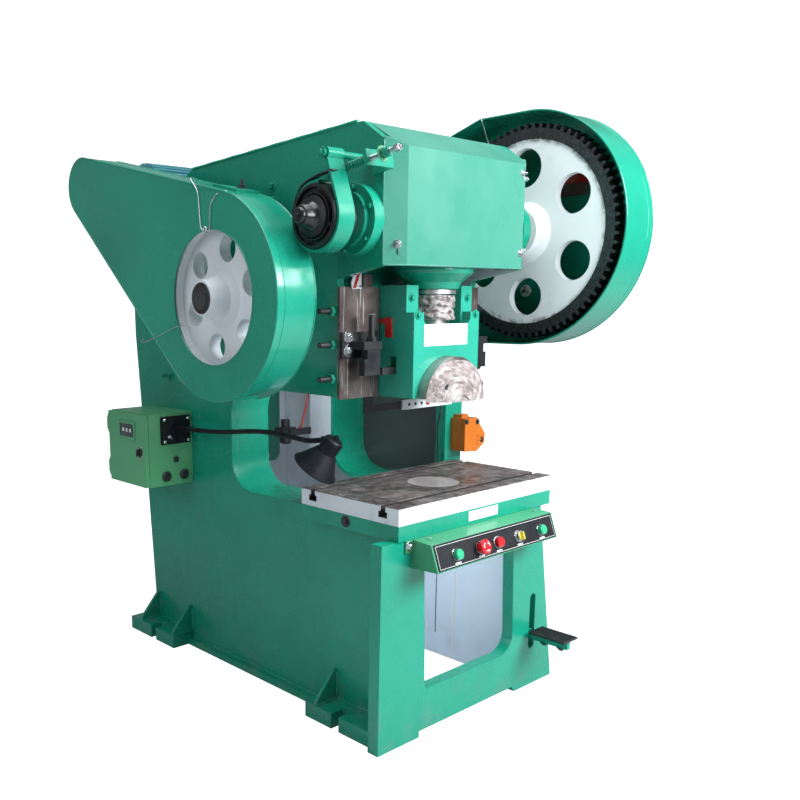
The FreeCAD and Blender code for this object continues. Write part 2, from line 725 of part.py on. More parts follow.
def flywheel():
    """The flywheel: belt grooves on its rim, six round holes and a cone hub."""
    inner = FLY_R - 62
    profile = [
        (FLY_X0, inner), (FLY_X0, FLY_R), (FLY_X1, FLY_R), (FLY_X1, inner),
        (-572, inner - 8), (-572, 96), (-540, 84), (-540, SHAFT_R + 0.01), (-696, SHAFT_R + 0.01),
        (-700, 50), (-700, 56), (-636, 72), (-616, 96), (-616, inner - 8),
    ]
    wheel = turned_x(profile, SHAFT_Y, SHAFT_Z)
    tools = []
    for x in BELT_X:
        tools.append(ring_x(x - 8, x + 8, SHAFT_Y, SHAFT_Z, FLY_R + 1, FLY_R - GROOVE_DEPTH))
    for k in range(6):
        angle = math.radians(FLY_HOLE_TURN + 60 * k)
        y, z = SHAFT_Y + FLY_HOLE_AT * math.cos(angle), SHAFT_Z + FLY_HOLE_AT * math.sin(angle)
        tools.append(rod_x(FLY_X0 - 60, FLY_X1 + 25, y, z, FLY_HOLE_R))
    return drilled(wheel, tools)


def v_belt(x):
    """One driving belt round the flywheel and the motor pulley."""
    big, small = (SHAFT_Y, SHAFT_Z), (MOTOR_Y, MOTOR_Z)
    lift, thick = 0.6, 9.0
    fly_in, pulley_in = FLY_R - GROOVE_DEPTH + lift, PULLEY_R - GROOVE_DEPTH + lift
    outer = hull(big, fly_in + thick, small, pulley_in + thick, x - 6.5, x + 6.5)
    return outer.cut(hull(big, fly_in, small, pulley_in, x - 7.5, x + 7.5))


def motor_pulley():
    """The grooved motor pulley, in one piece with the motor shaft."""
    body = joined([rod_x(-622, -540, MOTOR_Y, MOTOR_Z, PULLEY_R),
                   rod_x(-630, -387, MOTOR_Y, MOTOR_Z, MOTOR_SHAFT_R),
                   rod_x(-540, -500, MOTOR_Y, MOTOR_Z, 34)])
    tools = [ring_x(x - 8, x + 8, MOTOR_Y, MOTOR_Z, PULLEY_R + 1, PULLEY_R - GROOVE_DEPTH) for x in BELT_X]
    return drilled(body, tools)


def motor():
    """The electric motor: finned body, end bells, fan cover, feet and terminal box."""
    points = []
    fins = 36
    for k in range(fins):
        for share, r in ((0.0, MOTOR_R), (0.28, MOTOR_R), (0.34, MOTOR_R - 15), (0.94, MOTOR_R - 15)):
            angle = 2 * math.pi * (k + share) / fins
            points.append((MOTOR_Y + r * math.cos(angle), MOTOR_Z + r * math.sin(angle)))
    body = prism_x(points, -388, -120)
    bell = turned_x([(-412, MOTOR_SHAFT_R), (-412, 64), (-388, 108), (-388, MOTOR_SHAFT_R)],
                    MOTOR_Y, MOTOR_Z)
    fan = turned_x([(-120, 0), (-120, 112), (-58, 112), (-46, 100), (-46, 0)], MOTOR_Y, MOTOR_Z)
    terminal = box(-300, -190, MOTOR_Y + 80, MOTOR_Y + 148, MOTOR_Z - 50, MOTOR_Z + 50)
    pieces = [body, bell, fan, terminal]
    for x in (-360, -186):
        pieces.append(box(x, x + 40, MOTOR_Y - 100, MOTOR_Y + 100, 1690, MOTOR_Z - 85))
    shape = joined(pieces)
    return drilled(shape, [rod_x(-413, -386, MOTOR_Y, MOTOR_Z, MOTOR_SHAFT_R + FIT)])


def crank_housing():
    """The right-hand crankshaft bearing housing, spigoted into the side plate."""
    bore = JOURNAL_R + FIT
    spigot = ring_x(SIDE_IN, FRAME_HALF, AXIS_Y, CRANK_Z, 62, bore)
    flange = ring_x(FRAME_HALF, FRAME_HALF + 42, AXIS_Y, CRANK_Z, 108, bore)
    nose = ring_x(FRAME_HALF + 42, FRAME_HALF + 58, AXIS_Y, CRANK_Z, 82, bore)
    return joined([spigot, flange, nose])


def shaft_bearing():
    """The right-hand countershaft bearing housing."""
    flange = ring_x(FRAME_HALF, FRAME_HALF + 40, SHAFT_Y, SHAFT_Z, 78, SHAFT_R + FIT)
    spigot = ring_x(SIDE_IN, FRAME_HALF, SHAFT_Y, SHAFT_Z, 48, SHAFT_R + FIT)
    return joined([flange, spigot])


# ---- brake ----
def brake_drum():
    """The brake drum with its cone hub."""
    profile = [
        (-580, 0), (-580, 16), (-566, 36), (-556.5, 60), (-540, 62), (-540, 84), (-548, 86), (-548, 94),
        (-470, 94), (-470, 82), (-520, 80), (-520, JOURNAL_R + 0.01), (-556.5, JOURNAL_R + 0.01),
        (-556.5, 0),
    ]
    return turned_x(profile, AXIS_Y, CRANK_Z)


def tilted(shape):
    """A piece of the brake rod's line, drawn level and tilted so that it rises to the front."""
    return shape.rotated(Vector(ROD_X, AXIS_Y, ROD_Z), X_AXIS, -ROD_TILT)


def brake_band():
    """The steel brake band: its front end rises to the pivot, its rear end carries the rod's block."""
    x0, x1 = BAND_X0, BAND_X1
    r = BAND_R + BAND_T
    band = ring_x(x0, x1, AXIS_Y, CRANK_Z, r, BAND_R)
    gap = prism_x([(AXIS_Y, CRANK_Z + 40), (104, CRANK_Z + 40), (104, 1820), (AXIS_Y, 1820)], x0 - 1, x1 + 1)
    riser = prism_x([(131.3, 1714.3), (BRAKE_PIN_Y - 9, BRAKE_PIN_Z - 12),
                     (BRAKE_PIN_Y + 1, BRAKE_PIN_Z - 15), (140.5, 1718)], x0, x1)
    eye = ring_x(x0, x1, BRAKE_PIN_Y, BRAKE_PIN_Z, 17, BRAKE_PIN_R + 0.3)
    strip = box(x0, x1, AXIS_Y - 14, AXIS_Y + 4, CRANK_Z + r - 9, CRANK_Z + r)
    block = box(-506, ROD_X + 14, AXIS_Y - 14, AXIS_Y + 6, CRANK_Z + r - 5, ROD_Z + 12)
    shape = joined([band.cut(gap), riser, eye, strip, tilted(block)])
    holes = [rod_x(x0 - 1, x1 + 1, BRAKE_PIN_Y, BRAKE_PIN_Z, BRAKE_PIN_R + 0.2),
             tilted(rod_y(AXIS_Y - 18, AXIS_Y + 10, ROD_X, ROD_Z, ROD_R + 0.2))]
    return drilled(shape, holes)


def brake_pin():
    """The fixed pin that holds the band's front end."""
    pin = rod_x(-556, -FRAME_HALF, BRAKE_PIN_Y, BRAKE_PIN_Z, BRAKE_PIN_R)
    collar = rod_x(-FRAME_HALF - 14, -FRAME_HALF, BRAKE_PIN_Y, BRAKE_PIN_Z, 19)
    return joined([pin, collar])


def brake_bracket():
    """The bracket on the side plate that the brake rod passes through."""
    arm = box(ROD_X - 20, -FRAME_HALF, 84, 96, ROD_Z - 20, ROD_Z + 26)
    pad = box(-FRAME_HALF - 12, -FRAME_HALF, 96, 162, ROD_Z - 20, ROD_Z + 10)
    shape = joined([arm, pad])
    return tilted(drilled(shape, [rod_y(80, 100, ROD_X, ROD_Z, ROD_R + 1)]))


def brake_rod():
    """The threaded brake rod with its head, washer and nut."""
    bar = rod_y(-12, AXIS_Y + 18, ROD_X, ROD_Z, ROD_R)
    head = hexagon_y(AXIS_Y + 6, AXIS_Y + 17, ROD_X, ROD_Z, 22)
    washer = rod_y(24, 28, ROD_X, ROD_Z, 16)
    nut = hexagon_y(10, 24, ROD_X, ROD_Z, 24)
    return tilted(joined([bar, head, washer, nut]))


def tangent_arc(start, corner, end):
    """The arc from start to end whose end tangents meet at corner."""
    middle = (start + end) * 0.5
    half_chord = (end - start).Length / 2
    rise = (corner - middle).Length
    turn = math.atan2(rise, half_chord)
    top = middle + (corner - middle) * (math.tan(turn / 2) / math.tan(turn))
    return Part.Arc(start, top, end).toShape()


def biarc(start, start_way, end, end_way):
    """Two arcs in a row that leave start and reach end along the given directions."""
    chord = end - start
    ways = start_way + end_way
    slack = 2 * (1 - start_way.dot(end_way))
    along = chord.dot(ways)
    reach = (math.sqrt(along ** 2 + slack * chord.dot(chord)) - along) / slack
    first = start + start_way * reach
    last = end - end_way * reach
    joint = (first + last) * 0.5
    return [tangent_arc(start, first, joint), tangent_arc(joint, last, end)]


def brake_spring():
    """The open compression spring on the brake rod."""
    y0, y1 = 96 + COIL_WIRE_R, AXIS_Y - 14 - COIL_WIRE_R
    rise = (y1 - y0) / (2 * math.pi * COIL_TURNS)
    slant = math.hypot(COIL_R, rise)

    def at(angle):
        return Vector(ROD_X + COIL_R * math.cos(angle), y0 + rise * angle, ROD_Z - COIL_R * math.sin(angle))

    def way(angle):
        return Vector(-COIL_R * math.sin(angle), rise, -COIL_R * math.cos(angle)) * (1 / slant)

    edges = []
    step = math.pi / 2
    for k in range(4 * COIL_TURNS):
        edges += biarc(at(k * step), way(k * step), at((k + 1) * step), way((k + 1) * step))
    section = Part.Wire(Part.makeCircle(COIL_WIRE_R, at(0), way(0)))
    spine = Part.Wire(edges)
    spring = spine.makePipeShell([section], True, False)
    points = [at(0.1 * k) for k in range(int(20 * math.pi * COIL_TURNS))]
    apart = 40
    gap = min((points[i] - points[j]).Length for i in range(len(points))
              for j in range(i + apart, min(i + 3 * apart, len(points)))) - 2 * COIL_WIRE_R
    share = spring.Volume / (math.pi * COIL_WIRE_R ** 2 * spine.Length)
    print("spring: length %.1f, least gap %.2f, volume share %.4f" % (spine.Length, gap, share))
    return tilted(spring)


# ---- guards and covers ----
def flywheel_guard():
    """The teardrop belt guard: face with a round window, and its rim."""
    x0, x1, t = BELT_GUARD_X0, BELT_GUARD_X1, 4
    big, small = (SHAFT_Y, SHAFT_Z), (MOTOR_Y, MOTOR_Z)
    outer = hull(big, BELT_GUARD_R, small, BELT_GUARD_END_R, x0, x1)
    inner = hull(big, BELT_GUARD_R - t, small, BELT_GUARD_END_R - t, x0 + t, x1 + 1)
    window = rod_x(x0 - 1, x0 + t + 1, SHAFT_Y, SHAFT_Z, BELT_GUARD_WINDOW_R)
    return drilled(outer, [inner, window])


def guard_posts():
    """The angle bracket and posts of the belt guard, and the posts of the gear guard."""
    dy, dz = MOTOR_Y - SHAFT_Y, MOTOR_Z - SHAFT_Z
    rim = math.atan2(dz, dy) + math.acos((BELT_GUARD_R - BELT_GUARD_END_R) / math.hypot(dy, dz))

    def on_rim(along, up):
        r = BELT_GUARD_R + up
        return (SHAFT_Y + r * math.cos(rim) + along * math.sin(rim),
                SHAFT_Z + r * math.sin(rim) - along * math.cos(rim))

    t, low, high, depth = 8, 20, 150, -45
    leg = prism_x([on_rim(low, 0), on_rim(high, 0), on_rim(high, t), on_rim(low, t)],
                  BELT_GUARD_X1 - 85, BELT_GUARD_X1 + t)
    web = prism_x([on_rim(low, depth), on_rim(high, depth), on_rim(high, t), on_rim(low, t)],
                  BELT_GUARD_X1, BELT_GUARD_X1 + t)
    bracket = joined([leg, web, rod_x(BELT_GUARD_X1, -FRAME_HALF, *on_rim(110, -22), 11)])
    posts = [rod_x(BELT_GUARD_X0 + 4, -FRAME_HALF, y, SHAFT_Z + rise, 12)
             for y, rise in ((1010, 212), (1150, 284))]
    right = [rod_x(FRAME_HALF, 676, 690, z, 13) for z in (1330, 1900)]
    return [bracket] + posts + right


def gear_guard():
    """The gear guard: round in front, squarer behind and open towards the frame."""
    x0, x1, t = 500, 680, 4
    outer = gear_guard_shape(GUARD_R, x0, x1)
    inner = gear_guard_shape(GUARD_R - t, x0 - 1, x1 - t)
    return outer.cut(inner)


def gear_guard_shape(r, x0, x1):
    """The solid silhouette of the gear guard, r from the crank axis to its front."""
    back = AXIS_Y + 1.267 * r
    rear = prism_x([(AXIS_Y, GUARD_Z - r), (back - 0.28 * r, GUARD_Z - r), (back, GUARD_Z - 0.80 * r, 30),
                    (back, GUARD_Z + 0.68 * r, 40), (574, GUARD_Z + 0.90 * r), (440, GUARD_Z + r),
                    (AXIS_Y, GUARD_Z + r)], x0, x1)
    return rod_x(x0, x1, AXIS_Y, GUARD_Z, r).fuse(rear).removeSplitter()


def front_cover():
    """The folded sheet cover of the head, open at the bottom and the back."""
    t = 3.0
    half, panel, edge, flat = FRAME_HALF, 296.0, HEAD_FRONT, 82.0
    tuck, back = SIDE_IN - 0.5, 215.0
    outer = prism_z([(-half, edge), (-panel, flat), (panel, flat), (half, edge), (tuck, edge), (tuck, back),
                     (-tuck, back), (-tuck, edge)], COVER_Z, 1980)
    inner = prism_z([(t * 2.2 - half, edge), (t * 0.6 - panel, flat + t), (panel - t * 0.6, flat + t),
                     (half - t * 2.2, edge), (tuck - t, edge), (tuck - t, back + 1), (t - tuck, back + 1),
                     (t - tuck, edge)], COVER_Z - 1, 1981)
    slope = [(flat - 1, COVER_Z - 2), (flat - 1, 1884.5), (back, 1965), (back, COVER_Z - 2)]
    under = [(flat - 2, COVER_Z - 3), (flat - 2, 1881), (back + 2, 1963), (back + 2, COVER_Z - 3)]
    shell = outer.common(prism_x(slope, -half - 1, half + 1))
    shell = shell.cut(inner.common(prism_x(under, -half - 2, half + 2)))
    return shell.cut(rod_x(-half, half, AXIS_Y, CRANK_Z, JOURNAL_R + 10))


def rear_panel():
    """The plate that closes the back of the frame, open behind the throat."""
    y0, y1, half, r = 1400, 1408, 300, 40
    panel = box(-SIDE_IN, SIDE_IN, y0, y1, 60, 1640)
    low, high = THROAT_FLOOR - 35, THROAT_TOP + 12
    opening = prism_y([(-half, low, r), (half, low, r), (half, high, r), (-half, high, r)], y0 - 1, y1 + 1)
    return panel.cut(opening)


def base_liner():
    """The folded sheet behind the base portal."""
    t, fold, back, top = 5, 60, 760, 640
    x0, x1 = LINER_LEFT, LINER_RIGHT
    outer = prism_z([(x0, FRONT_T), (x1, FRONT_T), (x1, back, fold), (x0, back, fold)], LINER_LOW, top)
    inner = prism_z([(x0 + t, FRONT_T - 1), (x1 - t, FRONT_T - 1), (x1 - t, back - t, fold - t),
                     (x0 + t, back - t, fold - t)], LINER_LOW - 1, top + 1)
    return outer.cut(inner)


# ---- controls ----
def control_box():
    """The control box under the front of the table."""
    body = prism_x([(0, 695), PANEL_TOP, PANEL_BOTTOM, (-8, 601), (0, 601)], CONTROL_X0, CONTROL_X1)
    ear = box(CONTROL_X0 - 32, CONTROL_X0, -6, 0, 655, 695)
    return drilled(joined([body, ear]), [panel_bore(x) for x in CONTROL_X])


def panel_point(x, share, out):
    """A point on the control panel: share runs from its bottom to its top."""
    y = PANEL_BOTTOM[0] + share * (PANEL_TOP[0] - PANEL_BOTTOM[0])
    z = PANEL_BOTTOM[1] + share * (PANEL_TOP[1] - PANEL_BOTTOM[1])
    return (x, y + PANEL_NORMAL[1] * out, z + PANEL_NORMAL[2] * out)


def control_panel():
    """The black panel plate, bored for the five controls."""
    face = panel_outline(CONTROL_X0 + 8, CONTROL_X1 - 8, 0.04, 0.98, PANEL_T)
    return drilled(face, [panel_bore(x) for x in CONTROL_X])


def panel_outline(x0, x1, low, high, thick):
    """A flat rectangle on the panel's plane."""
    square = ((x0, low), (x1, low), (x1, high), (x0, high))
    corners = [Vector(*panel_point(x, share, 0.0)) for x, share in square]
    face = Part.Face(Part.makePolygon(corners + corners[:1]))
    return face.extrude(Vector(*PANEL_NORMAL) * thick)


def panel_bore(x):
    """The bore for a control, deep into the box."""
    deep = BUTTON_IN + 12
    return rod(panel_point(x, PANEL_SHARE, -deep), PANEL_NORMAL, deep + 20, STEM_R + 1.6)


def push_button(x, head_r, head_out, rise):
    """A push button: a stem in its bore and a round head that stands proud."""
    profile = [(0, -BUTTON_IN), (STEM_R, -BUTTON_IN), (STEM_R, head_out - 2), (head_r, head_out),
               (head_r, rise - 2.5), (head_r - 3, rise), (0, rise)]
    return turned(profile, panel_point(x, PANEL_SHARE, PANEL_T), PANEL_NORMAL)


def selector():
    """The key-type selector: a round body with a raised grip bar."""
    x = CONTROL_X[3]
    body = turned([(0, -BUTTON_IN), (STEM_R, -BUTTON_IN), (STEM_R, 2), (17, 3), (17, 12), (14, 15), (0, 15)],
                  panel_point(x, PANEL_SHARE, PANEL_T), PANEL_NORMAL)
    base = Vector(*panel_point(x, PANEL_SHARE, PANEL_T + 14))
    grip = Part.makeBox(7, 26, 11, Vector(-3.5, -13, 0))
    grip.Placement = FreeCAD.Placement(base, FreeCAD.Rotation(Z_AXIS, Vector(*PANEL_NORMAL)))
    return joined([body, grip])


# ---- electrical cabinet and lamp ----
def cabinet_box():
    """The cabinet shell, open on the door side, with its two welded hinge pins."""
    outer = box(CAB_X0, CAB_X1, CAB_Y0, CAB_Y1, CAB_Z0, CAB_Z1)
    t = CAB_SHEET
    inner = box(CAB_X0 - 1, CAB_X1 - t, CAB_Y0 + t, CAB_Y1 - t, CAB_Z0 + t, CAB_Z1 - t)
    lip = box(CAB_X0 - 1, CAB_X0 + t, CAB_Y0 + 16, CAB_Y1 - 16, CAB_Z0 + 16, CAB_Z1 - 16)
    frame = box(CAB_X0, CAB_X0 + t, CAB_Y0, CAB_Y1, CAB_Z0, CAB_Z1).cut(lip)
    pieces = [outer.cut(inner), frame]
    for z in HINGE_Z:
        leaf = box(CAB_X0 + 4, CAB_X0 + 14, CAB_Y1, HINGE_Y + 3, z - 12, z + 62)
        low = box(HINGE_X - 3, CAB_X0 + 14, CAB_Y1 + 1, HINGE_Y + 3, z - 12, z - 2)
        high = box(HINGE_X - 3, CAB_X0 + 14, CAB_Y1 + 1, HINGE_Y + 3, z + 52, z + 62)
        pieces += [leaf, low, high, rod_z(z - 12, z + 62, HINGE_X, HINGE_Y, HINGE_R)]
    holes = [rod_y(CAB_Y0 - 1, CAB_Y0 + t + 1, x, CAB_Z0 + 38, 15) for x in (CAB_X0 + 75, CAB_X0 + 158)]
    return drilled(joined(pieces), holes)


def cabinet_door():
    """The folded cabinet door with its window frame and hinge barrel."""
    x0, x1 = CAB_X0 - 18, CAB_X0 - 0.6
    outer = box(x0, x1, CAB_Y0 + 2, CAB_Y1 - 1, CAB_Z0 + 2, CAB_Z1 - 2)
    tray = box(x0 + 3, x1 + 1, CAB_Y0 + 5, CAB_Y1 - 4, CAB_Z0 + 5, CAB_Z1 - 5)
    frame = box(x0 - 5, x0, 1245, 1365, 892, 962)
    barrels = [rod_z(z, z + 50, HINGE_X, HINGE_Y, 7) for z in HINGE_Z]
    ears = [box(HINGE_X - 6, HINGE_X - 1, CAB_Y1 - 3, HINGE_Y, z, z + 50) for z in HINGE_Z]
    door = joined([outer.cut(tray), frame] + barrels + ears)
    holes = [rod_z(z - 1, z + 51, HINGE_X, HINGE_Y, HINGE_R + FIT) for z in HINGE_Z]
    window = box(x0 - 6, x0 - 2, 1254, 1356, 901, 953)
    lock_hole = rod_x(x0 - 1, x0 + 4, LOCK_Y, LOCK_Z, 11 + FIT)
    return drilled(door, holes + [window, lock_hole])


def door_lock():
    """The turning cabinet lock with its cam."""
    x0 = CAB_X0 - 18
    body = rod_x(x0 - 8, x0 + 6, LOCK_Y, LOCK_Z, 11)
    flange = rod_x(x0 - 8, x0 - 0.2, LOCK_Y, LOCK_Z, 15)
    grip = box(x0 - 18, x0 - 8, LOCK_Y - 4, LOCK_Y + 4, LOCK_Z - 14, LOCK_Z + 14)
    cam = box(x0 + 6, x0 + 9, LOCK_Y - 8, LOCK_Y + 8, LOCK_Z - 22, LOCK_Z + 9)
    return joined([body, flange, grip, cam])


def lamp_arm():
    """The lamp's base plate, bent gooseneck and ball end."""
    base = box(-506, -374, CAB_Y0 - 14, CAB_Y0, 874, 984)
    boss = rod_y(CAB_Y0 - 26, CAB_Y0 - 14, -438, 940, 16)
    tube = route_tube("lamp arm", LAMP_ROUTE, LAMP_TUBE_R)
    return joined([base, boss, tube, Part.makeSphere(LAMP_BALL_R, Vector(*LAMP_BALL))])


def lamp_head():
    """The lamp shade: a cap, an open cone and the socket over the arm's ball."""
    aim, side, ball = Vector(*LAMP_AIM), Vector(*LAMP_SIDE), Vector(*LAMP_BALL)
    aim.normalize()
    side.normalize()
    top = ball - side * 43 - aim * 34
    outer = [(0, 0), (27, 0), (33, 6), (33, 52), (38, 54), (79, 124), (76, 124), (34, 58), (30, 52),
             (30, 6), (0, 6)]
    shade = turned(outer, (0, 0, 0), (0, 0, 1))
    shade.Placement = FreeCAD.Placement(top, FreeCAD.Rotation(Z_AXIS, aim))
    socket = Part.makeCylinder(18, 10, ball - side * 14, side)
    hollow = Part.makeSphere(LAMP_BALL_R + 0.4, ball)
    cap_room = Part.makeCylinder(31, 44, top + aim * 7, aim)
    return joined([shade, socket.cut(cap_room)]).cut(hollow)


# ---- smaller fittings ----
def sign_bar():
    """The pale sign bar on its black arm under the head."""
    return box(40, 322, 393, 401, 1036, 1072)


def sign_arm():
    """The black bracket that hangs the sign bar from the guide wall."""
    hanger = box(-150, -110, 402, 410, 1040, THROAT_TOP)
    arm = box(-150, 120, 401, 410, 1040, 1068)
    return joined([hanger, arm])


def guard_post():
    """The green post at the back right corner of the table."""
    face = box(FRAME_HALF + 8, 458, SWITCH_Y, SWITCH_Y + 10, 762, 1180)
    flange = box(FRAME_HALF, FRAME_HALF + 8, SWITCH_Y, 500, 720, 1180)
    cut = prism_y([(420, 740), (470, 740), (470, 806)], 440, 470)
    return drilled(joined([face, flange]), [cut])


def side_guard():
    """The dark sheet that closes the right side of the throat."""
    front, back, low, high = 500, THROAT_BACK + 23, THROAT_FLOOR - 10, THROAT_TOP + 12
    corners = [(front, low), (back, low, 30), (back, high, 30), (front, high)]
    return prism_x(corners, FRAME_HALF, FRAME_HALF + 4)


def foot_switch_base():
    """The foot switch body and hood, hung on the post by its heel."""
    y1 = SWITCH_Y
    outline_points = [(392, 842), (470, 836), (520, 868), (520, 905), (486, 944), (468, 972), (392, 972)]
    hood = prism_y(outline_points, y1 - 72, y1)
    pocket = prism_y([(404, 830), (462, 830), (508, 872), (508, 900), (478, 934), (404, 934)],
                     y1 - 64, y1 - 14)
    mouth = prism_y([(404, 820), (462, 820), (462, 860), (404, 860)], y1 - 64, y1 - 14)
    hook = box(410, 450, y1 - 40, y1, 972, 984)
    pin_hole = rod_x(380, 530, y1 - 30, TREADLE_Z, TREADLE_PIN_R + FIT)
    return drilled(joined([hood, hook]), [pocket, mouth, pin_hole])


def foot_switch_pedal():
    """The treadle inside the hood, on its cross pin."""
    y1 = SWITCH_Y
    pin = rod_x(392.5, 480, y1 - 30, TREADLE_Z, TREADLE_PIN_R)
    plate = box(410, 456, y1 - 34, y1 - 26, 846, TREADLE_Z)
    return joined([pin, plate])


def air_valve():
    """The black air filter on its bracket behind the column wall."""
    bowl = turned_z([(0, 828), (20, 828), (26, 836), (26, 862), (0, 862)], 66, AIR_Y)
    body = box(30, 102, AIR_Y - 30, AIR_Y + 30, 858, 898)
    knob = rod_z(898, 932, 66, AIR_Y, 20)
    bracket = box(60, COLUMN_GAP, AIR_Y - 40, AIR_Y - 28, 864, 892)
    port = rod_x(102, 108, AIR_Y, 876, 10)
    return joined([bowl, body, knob, bracket, port])


def hose_stub():
    """The fitting on the column wall where the air hose ends."""
    return box(COLUMN_GAP + 1, COLUMN_GAP + 25, WALL_BACK, AIR_Y + 5, 1058, 1086)


def hose_and_cable():
    """The red air hose and the black cable of the sign bar."""
    return route_tube("air hose", HOSE_ROUTE, HOSE_R), route_tube("cable", CABLE_ROUTE, CABLE_R)


def pedal_arm():
    """The foot pedal: a cranked arm on its pivot and a tread plate."""
    x0, x1 = PEDAL_X - PEDAL_HALF, PEDAL_X + PEDAL_HALF
    inner0, inner1 = PEDAL_INNER_X - PEDAL_HALF, PEDAL_INNER_X + PEDAL_HALF
    front = prism_x([(75, 184), (-24, 186), (-160, 186), (-160, 220), (75, 220)], x0, x1)
    crank = box(inner0, x1, 60, 75, 184, 220)
    rear = prism_x([(60, 184), (60, 220), (PIVOT_Y, PIVOT_Z + 22), (PIVOT_Y, PIVOT_Z - 22)], inner0, inner1)
    eye = rod_x(inner0, inner1, PIVOT_Y, PIVOT_Z, 32)
    tread = box(PEDAL_X - 45, PEDAL_X + 45, -168, -18, 219, 226)
    shape = joined([front, crank, rear, eye, tread])
    return drilled(shape, [rod_x(inner0 - 1, inner1 + 1, PIVOT_Y, PIVOT_Z, PIVOT_R + FIT)])


def pedal_bracket():
    """The pedal's pivot pin between the base liner and the side plate."""
    x0, collar = LINER_RIGHT, 6
    return joined([rod_x(x0, SIDE_IN, PIVOT_Y, PIVOT_Z, PIVOT_R),
                   rod_x(x0, x0 + collar, PIVOT_Y, PIVOT_Z, 28),
                   rod_x(SIDE_IN - collar, SIDE_IN, PIVOT_Y, PIVOT_Z, 28)])


def build_frame():
    """The welded frame, its table and its guides."""
    plate = side_plate()
    notch = box(SIDE_IN - 1, FRAME_HALF + 1, FRONT_T - 1, FRONT_T + 50, 130, 380)
    save("right_side_plate", plate.cut(notch))
    save("left_side_plate", mirrored(plate))
    save("base_front_plate", base_front_plate())
    foot = foot_flange()
    save("foot_flanges", foot, mirrored(foot))
    liner = throat_liner()
    save("throat_liners", liner, mirrored(liner))
    save("frame_top_plate", frame_top_plate())
    save("guide_wall", guide_wall())
    gib = gib_plate()
    save("gib_plates", gib, mirrored(gib))
    screws = [gib_screw(z) for z in GIB_SCREW_Z]
    screws.append(stop_screw())
    save("adjusting_screws", *(screws + [mirrored(s) for s in screws]))
    stop = stop_bracket()
    save("stop_brackets", stop, mirrored(stop))
    save("table_shelf", table_shelf())
    save("table_plate", table_plate(), rod_z(TABLE_Z - 20, TABLE_Z - 1, 0, INSERT_Y, INSERT_R))
    save("rear_panel", rear_panel())
    save("base_liner", base_liner())
    save("front_cover", front_cover())


def build_drive():
    """The motor, flywheel, gears, crankshaft and their bearings."""
    save("crankshaft", crankshaft())
    save("brake_drum", brake_drum())
    save("big_gear", big_gear())
    save("countershaft", countershaft())
    save("flywheel", flywheel())
    save("drive_belts", *[v_belt(x) for x in BELT_X])
    save("motor_pulley", motor_pulley())
    save("motor", motor())
    housing = crank_housing()
    save("crank_housings", housing, mirrored(housing))
    bearing = shaft_bearing()
    save("countershaft_bearings", bearing, mirrored(bearing))
    save("brake_band", brake_band())
    save("brake_anchors", brake_pin(), brake_bracket())
    save("brake_rod", brake_rod())
    save("brake_spring", brake_spring())
    save("flywheel_guard", flywheel_guard())
    save("gear_guard", gear_guard())
    save("guard_supports", *guard_posts())


def build_slide():
    """The slide and what moves with it."""
    save("slide_block", slide_block())
    save("ball_screw", ball_screw())
    save("connecting_rod", connecting_rod())
    save("shank_clamp", shank_clamp())
    save("shank_clamp_bolts", *[clamp_bolt(x) for x in CLAMP_BOLT_X])
    save("knockout_bar", box(-232, 232, BAR_Y0, BAR_Y1, BAR_Z0, BAR_Z0 + BAR_H))


def build_controls():
    """The control box, cabinet, lamp, pedal and switches."""
    save("control_box", control_box())
    save("control_panel", control_panel())
    save("left_start_button", push_button(CONTROL_X[0], 17, 7, 19))
    save("emergency_stop_button", push_button(CONTROL_X[1], 24, 14, 30))
    save("stop_button", push_button(CONTROL_X[2], 17, 7, 19))
    save("mode_selector", selector())
    save("right_start_button", push_button(CONTROL_X[4], 17, 7, 19))
    save("cabinet_box", cabinet_box())
    save("cabinet_door", cabinet_door())
    save("cabinet_lock", door_lock())
    save("lamp_arm", lamp_arm())
    save("lamp_head", lamp_head())
    save("sign_bar", sign_bar(), sign_arm())
    save("throat_side_guard", side_guard())
    save("throat_side_post", guard_post())
    save("foot_switch", foot_switch_base())
    save("foot_switch_treadle", foot_switch_pedal())
    save("air_filter", air_valve())
    save("hose_fitting", hose_stub())
    save("hose_and_cable", *hose_and_cable())
    save("foot_pedal", pedal_arm())
    save("pedal_pivot", pedal_bracket())


build_frame()
build_drive()
build_slide()
build_controls()
for name, shape in nodes.items():
    if not shape.isValid():
        print("INVALID", name)
print(len(nodes), "nodes,", sum(len(s.Solids) for s in nodes.values()), "solids")
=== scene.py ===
import logging
import math
from dataclasses import dataclass
from enum import Enum
from typing import Optional, Sequence

import bmesh
import bpy
import numpy as np
from mathutils import Matrix, Vector


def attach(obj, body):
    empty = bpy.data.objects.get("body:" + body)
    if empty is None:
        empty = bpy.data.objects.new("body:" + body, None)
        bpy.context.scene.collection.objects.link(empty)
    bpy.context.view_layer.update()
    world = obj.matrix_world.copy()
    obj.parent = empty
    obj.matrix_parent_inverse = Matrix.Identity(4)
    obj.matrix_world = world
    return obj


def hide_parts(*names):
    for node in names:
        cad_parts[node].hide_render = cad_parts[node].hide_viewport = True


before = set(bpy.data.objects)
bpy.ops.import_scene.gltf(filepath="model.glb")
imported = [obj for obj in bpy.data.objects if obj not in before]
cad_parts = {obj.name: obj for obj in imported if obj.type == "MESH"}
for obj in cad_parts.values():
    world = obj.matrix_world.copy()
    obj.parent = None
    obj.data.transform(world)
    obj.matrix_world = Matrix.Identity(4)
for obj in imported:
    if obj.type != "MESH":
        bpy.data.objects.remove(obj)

LOG = logging.getLogger("stamping_press")

Socket = bpy.types.NodeSocket
Material = bpy.types.Material
Point = tuple[float, float, float]
Colour = tuple[float, float, float]
Pair = tuple[float, float]
Extent = tuple[float, float, float, float]  # least and greatest of one axis, then of another

